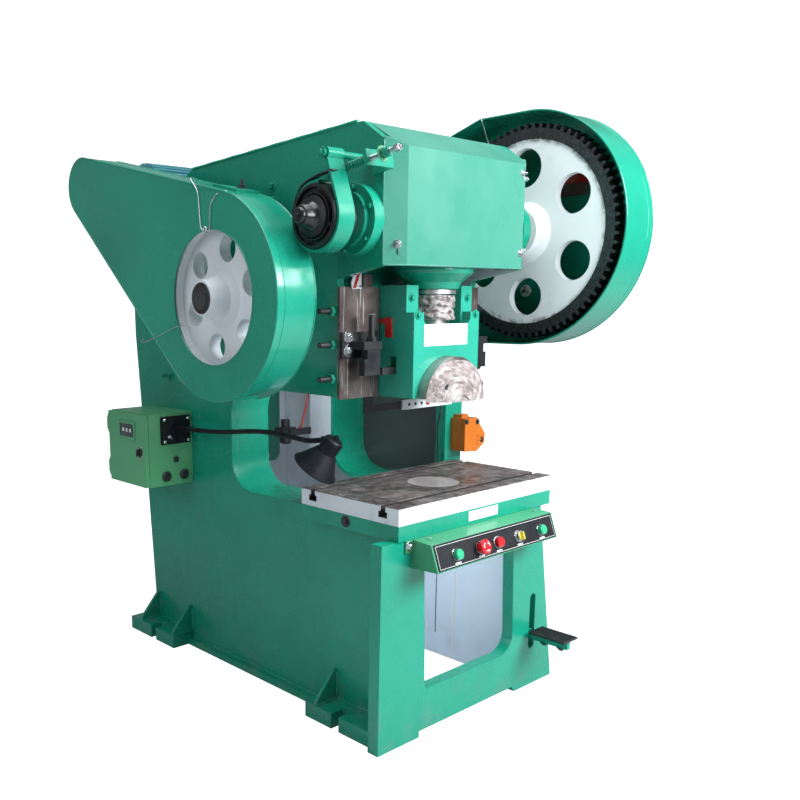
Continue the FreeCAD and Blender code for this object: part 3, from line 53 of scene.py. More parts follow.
# Places that several sub-assemblies share, in metres.  Everything is drawn with y = 0 at the base front
# plate's front face, and moved forward by ORIGIN_Y when it is made, to the middle of the foundation slots.
ORIGIN_Y = 0.792
SIDE_FACE = 0.358  # outer face of a side plate
CRANK_AXIS = (0.228, 1.676)  # (y, z) of the crankshaft
SHAFT_AXIS = (0.59943, 1.43901)  # (y, z) of the countershaft
MOTOR_AXIS = (1.420, 1.856)  # (y, z) of the motor
BELT_GUARD_FACE = -0.661
BELT_GUARD_R = 0.335
BELT_GUARD_END_R = 0.108
BELT_GUARD_BACK = -0.505
GEAR_GUARD_R = 0.420
GEAR_GUARD_Z = 1.686
GEAR_GUARD_X = (0.500, 0.680)
TABLE_TOP = 0.802
FAR = 9.0  # beyond every part of the press

SIDES = (-1.0, 1.0)  # the sign of x on the press's left and right
TO_LEFT, TO_RIGHT = (-1, 0, 0), (1, 0, 0)
TO_FRONT, TO_BACK = (0, -1, 0), (0, 1, 0)
UP, DOWN = (0, 0, 1), (0, 0, -1)
BLOCK_FACES = ((0, 1, 3, 2), (4, 6, 7, 5), (0, 4, 5, 1), (2, 3, 7, 6), (0, 2, 6, 4), (1, 5, 7, 3))


class Axis(Enum):
    """The axis that a form is drawn along."""

    X = 0
    Y = 1
    Z = 2

    def others(self) -> tuple[int, int]:
        """The indices of the two other axes, in right-handed order."""
        return (self.value + 1) % 3, (self.value + 2) % 3


def toned(colour: Colour, share: float, lift: float = 0.0) -> Colour:
    """A colour scaled by a share and lifted, up to white."""
    return tuple(min(1.0, share * c + lift) for c in colour)


# ---- how a finish is made
class Tree:
    """The nodes of one finish, with short ways to add them."""

    def __init__(self, name: str) -> None:
        """Starts a material with its shader and object coordinates.

        Args:
            name: the material's name.
        """
        self.material = bpy.data.materials.new(name)
        self.material.use_nodes = True
        self.nodes = self.material.node_tree.nodes
        self.links = self.material.node_tree.links
        self.shader = self.nodes["Principled BSDF"]
        drawn = self.nodes.new("ShaderNodeVectorMath")
        drawn.inputs[1].default_value = (0.0, ORIGIN_Y, 0.0)
        self.links.new(self.nodes.new("ShaderNodeTexCoord").outputs["Object"], drawn.inputs[0])
        self.place = drawn.outputs[0]
        split = self.nodes.new("ShaderNodeSeparateXYZ")
        self.links.new(self.place, split.inputs[0])
        self.xyz = [split.outputs[i] for i in range(3)]

    def put(self, socket: Socket, value: object) -> None:
        """Links a socket into another or sets its constant.

        Args:
            socket: the input.
            value: an output socket, a number or a colour.
        """
        if isinstance(value, Socket):
            self.links.new(value, socket)
        elif isinstance(value, tuple):
            socket.default_value = (*value, 1.0)
        else:
            socket.default_value = value

    def maths(self, operation: str, *values: object) -> Socket:
        """A maths node.

        Args:
            operation: the node's operation.
            values: its inputs in order.

        Returns:
            The result's socket.
        """
        node = self.nodes.new("ShaderNodeMath")
        node.operation = operation
        for socket, value in zip(node.inputs, values):
            self.put(socket, value)
        return node.outputs[0]

    def noise(self, scale: float, detail: float = 5.0, stretch: Point = (1.0, 1.0, 1.0),
              rough: float = 0.55) -> Socket:
        """Noise over the object's own coordinates.

        Args:
            scale: features per metre.
            detail: octaves.
            stretch: scale of each axis before the noise.
            rough: share of each finer octave.

        Returns:
            The noise from 0 to 1.
        """
        mapping = self.nodes.new("ShaderNodeMapping")
        mapping.inputs["Scale"].default_value = stretch
        self.links.new(self.place, mapping.inputs["Vector"])
        node = self.nodes.new("ShaderNodeTexNoise")
        node.inputs["Scale"].default_value = scale
        node.inputs["Detail"].default_value = detail
        node.inputs["Roughness"].default_value = rough
        self.links.new(mapping.outputs[0], node.inputs["Vector"])
        return node.outputs["Fac"]

    def cells(self, scale: float) -> Socket:
        """Distance to the nearest of scattered points, for specks and pits."""
        node = self.nodes.new("ShaderNodeTexVoronoi")
        node.inputs["Scale"].default_value = scale
        self.links.new(self.place, node.inputs["Vector"])
        return node.outputs["Distance"]

    def band(self, value: object, low: float, high: float, out_low: float = 0.0,
             out_high: float = 1.0) -> Socket:
        """A value from low to high, clamped and spread over out_low to out_high."""
        node = self.nodes.new("ShaderNodeMapRange")
        node.interpolation_type = "SMOOTHSTEP"
        self.put(node.inputs["Value"], value)
        node.inputs["From Min"].default_value = low
        node.inputs["From Max"].default_value = high
        node.inputs["To Min"].default_value = out_low
        node.inputs["To Max"].default_value = out_high
        return node.outputs["Result"]

    def mix(self, share: object, first: object, second: object) -> Socket:
        """The colour between two colours."""
        node = self.nodes.new("ShaderNodeMix")
        node.data_type = "RGBA"
        self.put(node.inputs["Factor"], share)
        self.put(node.inputs[6], first)
        self.put(node.inputs[7], second)
        return node.outputs[2]

    def soft_edges(self, radius: float) -> Socket:
        """Normals that round every sharp edge a little."""
        node = self.nodes.new("ShaderNodeBevel")
        node.samples = 3
        node.inputs["Radius"].default_value = radius
        return node.outputs["Normal"]

    def relief(self, height: object, depth: float, strength: float,
               normal: Optional[Socket] = None) -> Socket:
        """Small relief on the surface.

        Args:
            height: the relief from 0 to 1.
            depth: its depth in metres.
            strength: how much of it shows.
            normal: normals to start from.

        Returns:
            The new normals.
        """
        node = self.nodes.new("ShaderNodeBump")
        node.inputs["Strength"].default_value = strength
        node.inputs["Distance"].default_value = depth
        self.put(node.inputs["Height"], height)
        if normal is not None:
            self.links.new(normal, node.inputs["Normal"])
        return node.outputs["Normal"]

    def distance(self, axis: Axis, centre: Pair) -> Socket:
        """The distance from a line along an axis, through a centre given in the two other axes."""
        first, second = axis.others()
        across = self.maths("SUBTRACT", self.xyz[first], centre[0])
        up = self.maths("SUBTRACT", self.xyz[second], centre[1])
        squares = self.maths("ADD", self.maths("MULTIPLY", across, across), self.maths("MULTIPLY", up, up))
        return self.maths("SQRT", squares)

    def within(self, low: Point, high: Point) -> Socket:
        """A mask that is 1 inside a box and its mirror image across x = 0.

        Args:
            low: the least |x|, y and z.
            high: the greatest |x|, y and z.

        Returns:
            The mask.
        """
        share = 1.0
        places = (self.maths("ABSOLUTE", self.xyz[0]), self.xyz[1], self.xyz[2])
        for place, least, most in zip(places, low, high):
            if least > -FAR:
                share = self.maths("MULTIPLY", share, self.maths("GREATER_THAN", place, least))
            if most < FAR:
                share = self.maths("MULTIPLY", share, self.maths("LESS_THAN", place, most))
        return share

    def finish(self, colour: object, roughness: object, normal: Optional[Socket],
               metallic: object = 0.0) -> Material:
        """Joins everything to the shader.

        Args:
            colour: base colour.
            roughness: roughness.
            normal: normals, if any.
            metallic: metalness.

        Returns:
            The material.
        """
        self.put(self.shader.inputs["Base Color"], colour)
        self.put(self.shader.inputs["Roughness"], roughness)
        self.put(self.shader.inputs["Metallic"], metallic)
        if normal is not None:
            self.links.new(normal, self.shader.inputs["Normal"])
        return self.material


@dataclass(frozen=True)
class Enamel:
    """Glossy machine enamel over filled and sanded plate.

    The colour drifts slowly, with thin runs down the plates and dust near the floor.
    """

    name: str
    colour: Colour
    shade: Colour
    roughness: float = 0.27
    coat: float = 0.2
    waves: float = 0.35
    dust: float = 0.5
    edge: float = 0.0025

    def paint(self, tree: Tree) -> Socket:
        """The enamel's colour over the part."""
        drift = tree.band(tree.noise(2.3, 4.0), 0.32, 0.72)
        runs = tree.band(tree.noise(16.0, 4.0, (1.0, 1.0, 0.12)), 0.56, 0.8, 0.0, 0.45)
        base = tree.mix(drift, self.colour, self.shade)
        base = tree.mix(runs, base, self.shade)
        low = tree.band(tree.xyz[2], 0.0, 0.22, self.dust, 0.0)
        patches = tree.band(tree.noise(11.0, 6.0), 0.45, 0.7)
        dusty = toned(self.shade, 0.55, 0.10)
        return tree.mix(tree.maths("MULTIPLY", low, patches), base, dusty)

    def build(self) -> Material:
        """Returns the enamel's material."""
        tree = Tree(self.name)
        base = self.paint(tree)
        rough = tree.band(tree.noise(7.0, 5.0), 0.3, 0.75, self.roughness - 0.07, self.roughness + 0.12)
        normal = tree.soft_edges(self.edge)
        normal = tree.relief(tree.noise(5.0, 2.0), 0.012, self.waves, normal)
        normal = tree.relief(tree.noise(260.0, 3.0), 0.0006, 0.12, normal)
        tree.shader.inputs["Coat Weight"].default_value = self.coat
        tree.shader.inputs["Coat Roughness"].default_value = 0.06
        tree.shader.inputs["Specular IOR Level"].default_value = 0.38
        return tree.finish(base, rough, normal)


@dataclass(frozen=True)
class LinedEnamel(Enamel):
    """Enamel outside, and pale grey paint on what lies in a box inside the frame."""

    low: Point = (-FAR, -FAR, -FAR)
    high: Point = (FAR, FAR, FAR)
    inner: Colour = (0.72, 0.76, 0.83)

    def paint(self, tree: Tree) -> Socket:
        """The colour outside and inside."""
        marks = tree.band(tree.noise(6.0, 6.0), 0.42, 0.75, 0.0, 0.6)
        pale = tree.mix(marks, self.inner, toned(self.inner, 0.72))
        return tree.mix(tree.within(self.low, self.high), super().paint(tree), pale)


@dataclass(frozen=True)
class BareSteel:
    """Machined or drawn steel with fine marks along one way, oil film and a little tarnish."""

    name: str
    colour: Colour = (0.55, 0.54, 0.53)
    tarnish: Colour = (0.20, 0.16, 0.13)
    roughness: float = 0.34
    marks: Point = (1.0, 1.0, 0.05)
    tarnished: float = 0.4
    metallic: float = 1.0
    scratched: float = 0.0

    def build(self) -> Material:
        """Returns the steel's material."""
        tree = Tree(self.name)
        grain = tree.noise(420.0, 4.0, self.marks)
        stains = tree.band(tree.noise(9.0, 7.0), 0.45, 0.68, 0.0, self.tarnished)
        streaks = tree.band(grain, 0.3, 0.8, 0.0, 0.35)
        colour = tree.mix(stains, self.colour, self.tarnish)
        colour = tree.mix(streaks, colour, toned(self.colour, 0.6))
        lines = tree.band(tree.noise(95.0, 3.0, (1.0, 1.0, 0.045)), 0.60, 0.66, 0.0, self.scratched)
        colour = tree.mix(lines, colour, (0.62, 0.57, 0.56))
        rough = tree.band(tree.noise(14.0, 5.0), 0.3, 0.7, self.roughness - 0.1, self.roughness + 0.16)
        normal = tree.relief(grain, 0.0004, 0.35, tree.soft_edges(0.0012))
        return tree.finish(colour, rough, normal, self.metallic)


@dataclass(frozen=True)
class WornTable:
    """The table's ground top: brown-grey, rubbed in patches and dirty between them, with painted sides.

    The round insert is brighter, with turned rings, and what lies inside the slots is painted dark as shade.
    """

    name: str
    dirty: Colour = (0.080, 0.054, 0.052)
    rubbed: Colour = (0.19, 0.140, 0.137)
    blotched: Colour = (0.33, 0.29, 0.29)
    pitted: Colour = (0.055, 0.045, 0.04)
    speckled: Colour = (0.74, 0.70, 0.70)
    insert_colours: tuple[Colour, Colour] = ((0.72, 0.60, 0.61), (0.95, 0.82, 0.83))
    painted: Colour = (0.70, 0.73, 0.77)
    grimy: Colour = (0.42, 0.43, 0.42)
    # painted shade inside the slots and under the top
    painted_slot_shade: Colour = (0.035, 0.03, 0.03)
    top: float = TABLE_TOP
    insert: Pair = (0.0, 0.205)
    insert_r: float = 0.092
    ring_pitch: float = 900.0
    outside: Point = (0.4085, -0.0045, 0.4435)

    def steel(self, tree: Tree, patches: Socket) -> Socket:
        """The ground top's colour, with its blotches, pits, speckles and insert."""
        blotches = tree.band(tree.noise(26.0, 8.0, rough=0.72), 0.42, 0.6)
        steel = tree.mix(patches, self.dirty, self.rubbed)
        steel = tree.mix(tree.maths("MULTIPLY", blotches, 0.6), steel, self.blotched)
        pits = tree.band(tree.cells(120.0), 0.05, 0.22, 0.55, 0.0)
        steel = tree.mix(pits, steel, self.pitted)
        speckles = tree.band(tree.cells(150.0), 0.16, 0.30, 0.85, 0.0)
        thinned = tree.band(blotches, 0.0, 1.0, 0.35, 1.0)
        steel = tree.mix(tree.maths("MULTIPLY", speckles, thinned), steel, self.speckled)
        reach = tree.distance(Axis.Z, self.insert)
        rings = tree.maths("SINE", tree.maths("MULTIPLY", reach, self.ring_pitch))
        inside = tree.band(reach, self.insert_r - 0.001, self.insert_r + 0.001, 1.0, 0.0)
        pale = tree.mix(tree.band(rings, -1.0, 1.0, 0.1, 0.5), *self.insert_colours)
        return tree.mix(tree.maths("MULTIPLY", inside, 0.72), steel, pale)

    def sides(self, tree: Tree) -> Socket:
        """The colour of the painted sides, and the painted shade of what lies inside the slots."""
        grime = tree.band(tree.noise(18.0, 6.0, (1.0, 1.0, 0.4)), 0.5, 0.75, 0.0, 0.55)
        half, front, back = self.outside
        within = tree.within((-FAR, front, -FAR), (half, back, FAR))
        # painted shade: inside the plate's outline, in the slots and under the top, the colour is dark
        return tree.mix(within, tree.mix(grime, self.painted, self.grimy), self.painted_slot_shade)

    def build(self) -> Material:
        """Returns the table's material."""
        tree = Tree(self.name)
        patches = tree.band(tree.noise(8.0, 9.0, rough=0.7), 0.38, 0.62)
        chips = tree.noise(45.0, 6.0)
        line = tree.maths("ADD", self.top - 0.0035, tree.maths("MULTIPLY", chips, 0.004))
        on_top = tree.band(tree.maths("SUBTRACT", tree.xyz[2], line), -0.0012, 0.0004)
        colour = tree.mix(on_top, self.sides(tree), self.steel(tree, patches))
        rough = tree.mix(on_top, (0.38, 0.38, 0.38), tree.band(patches, 0.0, 1.0, 0.36, 0.6))
        metal = tree.maths("MULTIPLY", on_top, 0.55)
        normal = tree.relief(tree.noise(90.0, 8.0, rough=0.7), 0.0012, 0.35, tree.soft_edges(0.002))
        return tree.finish(colour, rough, normal, metal)


@dataclass(frozen=True)
class TurnedWheel:
    """A wheel whose web is painted pale and whose rim is left dark or bright, by distance from its axis."""

    name: str
    axis: Pair
    rim_from: float
    web: Colour = (0.80, 0.82, 0.86)
    rim: Colour = (0.030, 0.031, 0.034)
    rim_rough: float = 0.42
    rim_metal: float = 0.6
    grease_and_sheen: float = 0.6

    def build(self) -> Material:
        """Returns the wheel's material."""
        tree = Tree(self.name)
        reach = tree.distance(Axis.X, self.axis)
        edge = tree.maths("ADD", reach, tree.maths("MULTIPLY", tree.noise(60.0, 4.0), 0.002))
        outer = tree.band(edge, self.rim_from, self.rim_from + 0.0015)
        smears = tree.band(tree.noise(7.0, 7.0, rough=0.65), 0.56, 0.78, 0.0, 0.35)
        web = tree.mix(smears, self.web, (0.50, 0.52, 0.55))
        # the web is darker in patches next to the rim
        near_rim = tree.band(reach, self.rim_from - 0.022, self.rim_from, 0.0, 0.75)
        dark_by_rim = tree.maths("MULTIPLY", near_rim, tree.band(tree.noise(30.0, 6.0), 0.45, 0.62))
        web = tree.mix(dark_by_rim, web, (0.12, 0.12, 0.12))
        # lighter, glossier patches on the rim: partly grease, partly painted sheen
        film = tree.band(tree.noise(70.0, 6.0, rough=0.7), 0.4, 0.65, 0.0, self.grease_and_sheen)
        rim = tree.mix(film, self.rim, toned(self.rim, 3.0, 0.03))
        colour = tree.mix(outer, web, rim)
        rough = tree.mix(outer, (0.36, 0.36, 0.36), tree.band(film, 0.0, 0.6, self.rim_rough, 0.22))
        metal = tree.maths("MULTIPLY", outer, self.rim_metal)
        waves = tree.relief(tree.noise(9.0, 3.0), 0.006, 0.2, tree.soft_edges(0.003))
        normal = tree.relief(tree.noise(150.0, 5.0), 0.0008, 0.2, waves)
        return tree.finish(colour, rough, normal, metal)


@dataclass(frozen=True)
class Moulded:
    """Moulded plastic or rubber with a fine grain and handling marks."""

    name: str
    colour: Colour
    roughness: float = 0.45
    grain: float = 380.0
    depth: float = 0.0003
    dust: float = 0.18
    coat: float = 0.0
    shine: float = 0.5

    def build(self) -> Material:
        """Returns the plastic's material."""
        tree = Tree(self.name)
        marks = tree.band(tree.noise(38.0, 6.0), 0.45, 0.75, 0.0, self.dust)
        pale = toned(self.colour, 0.7, 0.11)
        colour = tree.mix(marks, self.colour, pale)
        rough = tree.band(tree.noise(22.0, 5.0), 0.3, 0.7, self.roughness - 0.07, self.roughness + 0.12)
        normal = tree.relief(tree.noise(self.grain, 3.0), self.depth, 0.4, tree.soft_edges(0.0012))
        tree.shader.inputs["Coat Weight"].default_value = self.coat
        tree.shader.inputs["Coat Roughness"].default_value = 0.08
        tree.shader.inputs["Specular IOR Level"].default_value = self.shine
        return tree.finish(colour, rough, normal)


@dataclass(frozen=True)
class Film:
    """Crumpled film with painted shade in its folds and painted highlights on its creases, that lets little
    through.
    """

    name: str
    opacity: float
    # dark is the painted shade in the folds, pale the painted highlight on the creases
    dark: Colour
    pale: Colour
    grain: float

    def build(self) -> Material:
        """Returns the film's material."""
        tree = Tree(self.name)
        creases = tree.noise(self.grain, 4.0, rough=0.55)
        tree.shader.inputs["Alpha"].default_value = self.opacity
        # painted shade and highlight: the colour follows the creases that also make the relief
        colour = tree.mix(tree.band(creases, 0.38, 0.62), self.dark, self.pale)
        normal = tree.relief(creases, 0.007, 0.9)
        return tree.finish(colour, tree.band(creases, 0.3, 0.7, 0.06, 0.22), normal)


@dataclass(frozen=True)
class TwoZones:
    """Two colours of one part: one in a box, given by |x|, y and z, and one outside it."""

    name: str
    low: Point
    high: Point
    inside: Colour
    outside: Colour
    roughness: float = 0.4

    def build(self) -> Material:
        """Returns the two-zone material."""
        tree = Tree(self.name)
        marks = tree.band(tree.noise(30.0, 6.0), 0.48, 0.75, 0.0, 0.3)
        inner = tree.mix(marks, self.inside, toned(self.inside, 0.6, 0.02))
        outer = tree.mix(marks, self.outside, toned(self.outside, 0.6, 0.02))
        rough = tree.band(tree.noise(20.0, 4.0), 0.3, 0.7, self.roughness - 0.08, self.roughness + 0.1)
        normal = tree.relief(tree.noise(300.0, 3.0), 0.0004, 0.25, tree.soft_edges(0.0015))
        return tree.finish(tree.mix(tree.within(self.low, self.high), outer, inner), rough, normal)


@dataclass(frozen=True)
class Glow:
    """The floor and the wall behind: they glow for the camera and are a plain soft surface otherwise."""

    name: str
    colour: Colour
    seen: float

    def build(self) -> Material:
        """Returns the backdrop's material."""
        tree = Tree(self.name)
        mottle = tree.band(tree.noise(1.4, 3.0), 0.3, 0.7, 0.0, 0.25)
        colour = tree.mix(mottle, self.colour, toned(self.colour, 0.97))
        material = tree.finish(colour, 0.85, None)
        path = tree.nodes.new("ShaderNodeLightPath")
        tree.shader.inputs["Emission Color"].default_value = (1.0, 1.0, 1.0, 1.0)
        seen = tree.maths("MULTIPLY", path.outputs["Is Camera Ray"], self.seen)
        tree.links.new(seen, tree.shader.inputs["Emission Strength"])
        return material


# ---- mesh forms
def put_in_scene(name: str, data: bpy.types.ID) -> bpy.types.Object:
    """Makes an object of a mesh, a curve, a lamp or a camera, in the scene."""
    thing = bpy.data.objects.new(name, data)
    bpy.context.scene.collection.objects.link(thing)
    return thing


class Form:
    """The points and faces of one piece while it is drawn, in metres."""

    def __init__(self) -> None:
        """Starts with nothing drawn."""
        self.points: list[np.ndarray] = []
        self.faces: list[list[int]] = []
        self.count = 0

    def add(self, points: np.ndarray, faces: Sequence[Sequence[int]]) -> "Form":
        """Adds points and the faces between them.

        Args:
            points: an array of (n, 3).
            faces: indices into those points.

        Returns:
            The form itself.
        """
        self.points.append(np.asarray(points, float).reshape(-1, 3))
        self.faces += [[self.count + i for i in face] for face in faces]
        self.count += len(self.points[-1])
        return self

    def sheet(self, grid: np.ndarray, round_u: bool = False, round_v: bool = False,
              capped: bool = False) -> "Form":
        """Adds a surface through a grid of points.

        Args:
            grid: points of (rows, columns, 3).
            round_u: whether the last row joins the first.
            round_v: whether the last column joins the first.
            capped: whether flat faces close the first and last row.

        Returns:
            The form itself.
        """
        rows, columns = grid.shape[:2]
        u = np.arange(rows if round_u else rows - 1)
        v = np.arange(columns if round_v else columns - 1)
        uu, vv = np.meshgrid(u, v, indexing="ij")
        u1, v1 = (uu + 1) % rows, (vv + 1) % columns
        quads = np.stack([uu * columns + vv, u1 * columns + vv, u1 * columns + v1, uu * columns + v1], -1)
        faces = quads.reshape(-1, 4).tolist()
        if capped:
            faces.append(list(range(columns)))
            faces.append(list(range((rows - 1) * columns, rows * columns))[::-1])
        return self.add(grid, faces)

    def block(self, low: Point, high: Point) -> "Form":
        """Adds a block between two corners."""
        corners = np.array([[x, y, z] for x in (low[0], high[0]) for y in (low[1], high[1])
                            for z in (low[2], high[2])])
        return self.add(corners, BLOCK_FACES)

    def turned(self, profile: Sequence[Pair], base: Point, way: Point, steps: int = 40) -> "Form":
        """Adds a profile turned about a line.

        Args:
            profile: (radius, distance along the line) points; where both ends lie on the line, it is closed.
            base: a point on the line.
            way: the line's direction.
            steps: points round the turn.

        Returns:
            The form itself.
        """
        radii, along = np.array(profile, float).T
        w = np.array(Vector(way).normalized())
        side = np.array(Vector(way).orthogonal().normalized())
        up = np.cross(w, side)
        angle = np.linspace(0.0, 2.0 * math.pi, steps, endpoint=False)
        ring = np.cos(angle)[:, None] * side + np.sin(angle)[:, None] * up
        grid = np.array(base) + ring[:, None, :] * radii[None, :, None] + w * along[None, :, None]
        return self.sheet(grid, round_u=True)

    def ring(self, base: Point, way: Point, outer: float, inner: float, low: float, high: float,
             steps: int = 40) -> "Form":
        """Adds a flat ring with a hole, such as a washer or a bezel."""
        profile = [(inner, low), (outer, low), (outer, high), (inner, high), (inner, low)]
        return self.turned(profile, base, way, steps)

    def tube(self, path: Sequence[Point], radius: object, sides: int = 10, closed: bool = False) -> "Form":
        """Adds a round wire or tube along a path.

        Args:
            path: points of (n, 3).
            radius: one radius, or one for each point.
            sides: points round the tube.
            closed: whether the last point joins the first.

        Returns:
            The form itself.
        """
        path = np.asarray(path, float)
        ahead = np.roll(path, -1, 0) - np.roll(path, 1, 0)
        if not closed:
            ahead[0], ahead[-1] = path[1] - path[0], path[-1] - path[-2]
        ahead /= np.linalg.norm(ahead, axis=1)[:, None]
        side = np.array(Vector(ahead[0]).orthogonal().normalized())
        sides_at = []
        for way in ahead:
            side = side - way * side.dot(way)
            side = side / np.linalg.norm(side)
            sides_at.append(side)
        across = np.array(sides_at)
        up = np.cross(ahead, across)
        angle = np.linspace(0.0, 2.0 * math.pi, sides, endpoint=False)
        cos, sin = np.cos(angle)[None, :, None], np.sin(angle)[None, :, None]
        ring = cos * across[:, None, :] + sin * up[:, None, :]
        grid = path[:, None, :] + ring * np.broadcast_to(radius, len(path))[:, None, None]
        return self.sheet(grid, round_u=closed, round_v=True, capped=not closed)

    def slab(self, outline: Sequence[Pair], axis: Axis, low: float, high: float) -> "Form":
        """Adds an outline drawn across an axis and given a thickness along it.

        Args:
            outline: points in the two other axes, in right-handed order after the axis.
            axis: the axis of the thickness.
            low: where the slab starts.
            high: where it ends.

        Returns:
            The form itself.
        """
        flat = np.array(outline, float)
        grid = np.zeros((2, len(flat), 3))
        a, b = axis.others()
        grid[:, :, a] = flat[:, 0]
        grid[:, :, b] = flat[:, 1]
        grid[0, :, axis.value] = low
        grid[1, :, axis.value] = high
        return self.sheet(grid, round_v=True, capped=True)

    def moved(self, matrix: Matrix) -> "Form":
        """Moves everything drawn so far by a matrix."""
        m = np.array(matrix)
        self.points = [p @ m[:3, :3].T + m[:3, 3] for p in self.points]
        return self

    def bolt(self, base: Point, way: Point, across: float, height: float, stub: float = 0.0,
             washer: bool = True) -> "Form":
        """Adds a hexagon head or nut on a washer.

        Args:
            base: where the washer lies.
            way: the direction out of the surface.
            across: width over the flats.
            height: height of the head.
            stub: length of the thread that stands out of the nut.
            washer: whether there is a washer.

        Returns:
            The form itself.
        """
        start = 0.0
        if washer:
            thick = 0.14 * across
            self.turned([(0, 0), (0.98 * across, 0), (1.02 * across, 0.4 * thick), (0.98 * across, thick),
                         (0, thick)], base, way, 28)
            start = thick
        r = across / math.sqrt(3.0)
        top = start + height
        self.turned([(0, start), (0.93 * r, start), (r, start + 0.08 * height), (r, top - 0.1 * height),
                     (0.88 * r, top), (0.5 * r, top), (0, top)], base, way, 6)
        if stub > 0.0:
            thread = [(0.0, top - 0.001)]
            pitch = 0.1 * across
            turns = max(2, int(stub / pitch))
            for k in range(turns):
                thread += [(0.44 * r, top + k * pitch), (0.5 * r, top + (k + 0.5) * pitch)]
            thread += [(0.4 * r, top + turns * pitch), (0.0, top + turns * pitch)]
            self.turned(thread, base, way, 20)
        return self

    def socket_screw(self, base: Point, way: Point, radius: float, height: float) -> "Form":
        """Adds a round head with a hexagon socket."""
        inner = 0.5 * radius
        profile = [(0, 0), (radius, 0), (radius, 0.85 * height), (0.9 * radius, height), (inner, height),
                   (inner, 0.4 * height), (0, 0.4 * height)]
        return self.turned(profile, base, way, 24)

    def object(self, name: str, finish: Material, slot: str, body: str = "frame", bevel: float = 0.0,
               smooth: float = 38.0) -> bpy.types.Object:
        """Makes the Blender object, rides it on its body and gives it its finish.

        Args:
            name: the piece's name.
            finish: its material.
            slot: the record's material slot; not used.
            body: the CAD body that carries it.
            bevel: width of a bevel on the sharp edges.
            smooth: angle in degrees up to which edges look smooth.

        Returns:
            The object.
        """
        mesh = bpy.data.meshes.new(name)
        points = np.concatenate(self.points) - (0.0, ORIGIN_Y, 0.0)
        mesh.from_pydata(points.tolist(), [], self.faces)
        shape = bmesh.new()
        shape.from_mesh(mesh)
        bmesh.ops.remove_doubles(shape, verts=shape.verts, dist=2e-6)
        bmesh.ops.dissolve_degenerate(shape, edges=shape.edges, dist=1e-6)
        bmesh.ops.recalc_face_normals(shape, faces=shape.faces)
        limit = math.radians(smooth)
        if bevel > 0.0:
            sharp = [e for e in shape.edges if len(e.link_faces) == 2 and e.calc_face_angle() > limit]
            bmesh.ops.bevel(shape, geom=sharp, offset=bevel, segments=2, profile=0.6, affect="EDGES",
                            clamp_overlap=True)
        for edge in shape.edges:
            edge.smooth = len(edge.link_faces) != 2 or edge.calc_face_angle() < limit
        for face in shape.faces:
            face.smooth = True
        shape.to_mesh(mesh)
        shape.free()
        mesh.materials.append(finish)
        piece = put_in_scene(name, mesh)
        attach(piece, body)
        LOG.info("%s: %d faces on %s", name, len(mesh.polygons), body)
        return piece


def arc(centre: Pair, radius: float, angle: np.ndarray) -> np.ndarray:
    """(y, z) points at these angles: the centre plus the radius times the cosine and the sine."""
    return np.array(centre) + radius * np.stack([np.cos(angle), np.sin(angle)], -1)


def smooth_path(corners: Sequence[Point], steps: int = 8) -> np.ndarray:
    """A smooth line through points.

    Args:
        corners: the points it passes.
        steps: points between each two of them.

    Returns:
        Points of (n, 3) on Catmull-Rom curves.
    """
    p = np.array(corners, float)
    p = np.concatenate([[2 * p[0] - p[1]], p, [2 * p[-1] - p[-2]]])
    t = np.linspace(0.0, 1.0, steps, endpoint=False)[:, None]
    runs = []
    for a, b, c, d in zip(p, p[1:], p[2:], p[3:]):
        runs.append(0.5 * (2 * b + (c - a) * t + (2 * a - 5 * b + 4 * c - d) * t ** 2
                           + (3 * b - a - 3 * c + d) * t ** 3))
    runs.append(p[-2:-1])
    return np.concatenate(runs)


def belt_outline(r_big: float, r_small: float, steps: int = 64) -> np.ndarray:
    """The outline of a belt round the countershaft and the motor, as (y, z) points.

    Args:
        r_big: radius round the countershaft.
        r_small: radius round the motor.
        steps: points on the larger circle.

    Returns:
        Points of (n, 2): two arcs that end where the common tangents touch them. The radii there lean from
        the line of centres by the arc cosine of their difference over the distance of the centres.
    """
    gap = np.array(MOTOR_AXIS) - np.array(SHAFT_AXIS)
    line = math.atan2(gap[1], gap[0])
    lean = math.acos((r_big - r_small) / math.hypot(*gap))
    far = np.linspace(line + lean, line + 2 * math.pi - lean, steps)
    near = np.linspace(line - lean, line + lean, steps // 2)
    return np.concatenate([arc(SHAFT_AXIS, r_big, far), arc(MOTOR_AXIS, r_small, near)])


def gear_guard_outline(r: float) -> np.ndarray:
    """The outline of the gear guard, round in front and squarer behind, as (y, z) points."""
    y, z = CRANK_AXIS[0], GEAR_GUARD_Z
    back = y + 1.267 * r
    front = arc((y, z), r, np.linspace(0.5 * math.pi, 1.5 * math.pi, 60))
    rear = np.array([(back - 0.28 * r, z - r), (back, z - 0.80 * r), (back, z + 0.68 * r),
                     (0.574, z + 0.90 * r), (0.440, z + r)])
    return np.concatenate([front, rear])


def on_plane(x: float, outline: Sequence[Pair]) -> np.ndarray:
    """Puts (y, z) points at this x."""
    return np.column_stack([np.full(len(outline), x), outline])


def places_round(centre: Pair, radius: float, count: int, first: float) -> np.ndarray:
    """Evenly spaced (y, z) places round a centre, the first at this many degrees from +y to +z."""
    return arc(centre, radius, np.radians(first + 360.0 / count * np.arange(count)))


def guard_seams(outline: np.ndarray, front: float, back: float, line: float) -> Form:
    """The seams of a sheet guard.

    Args:
        outline: (y, z) points round the guard.
        front: x of the seam on its front edge.
        back: x of the seam on its back edge.
        line: x of the fine line between them.

    Returns:
        The form with the three seams, each a thin tube along the outline.
    """
    form = Form()
    for x, radius, sides in ((front, 0.0028, 8), (back, 0.0030, 8), (line, 0.0016, 6)):
        form.tube(on_plane(x, outline), radius, sides, closed=True)
    return form


# ---- the press's finishes
GREEN: Colour = (0.008, 0.300, 0.192)
GREEN_SHADE: Colour = (0.006, 0.245, 0.155)
PLASTIC_BLACK: Colour = (0.018, 0.018, 0.020)
ANY_WAY: Point = (1.0, 1.0, 1.0)  # marks without a direction


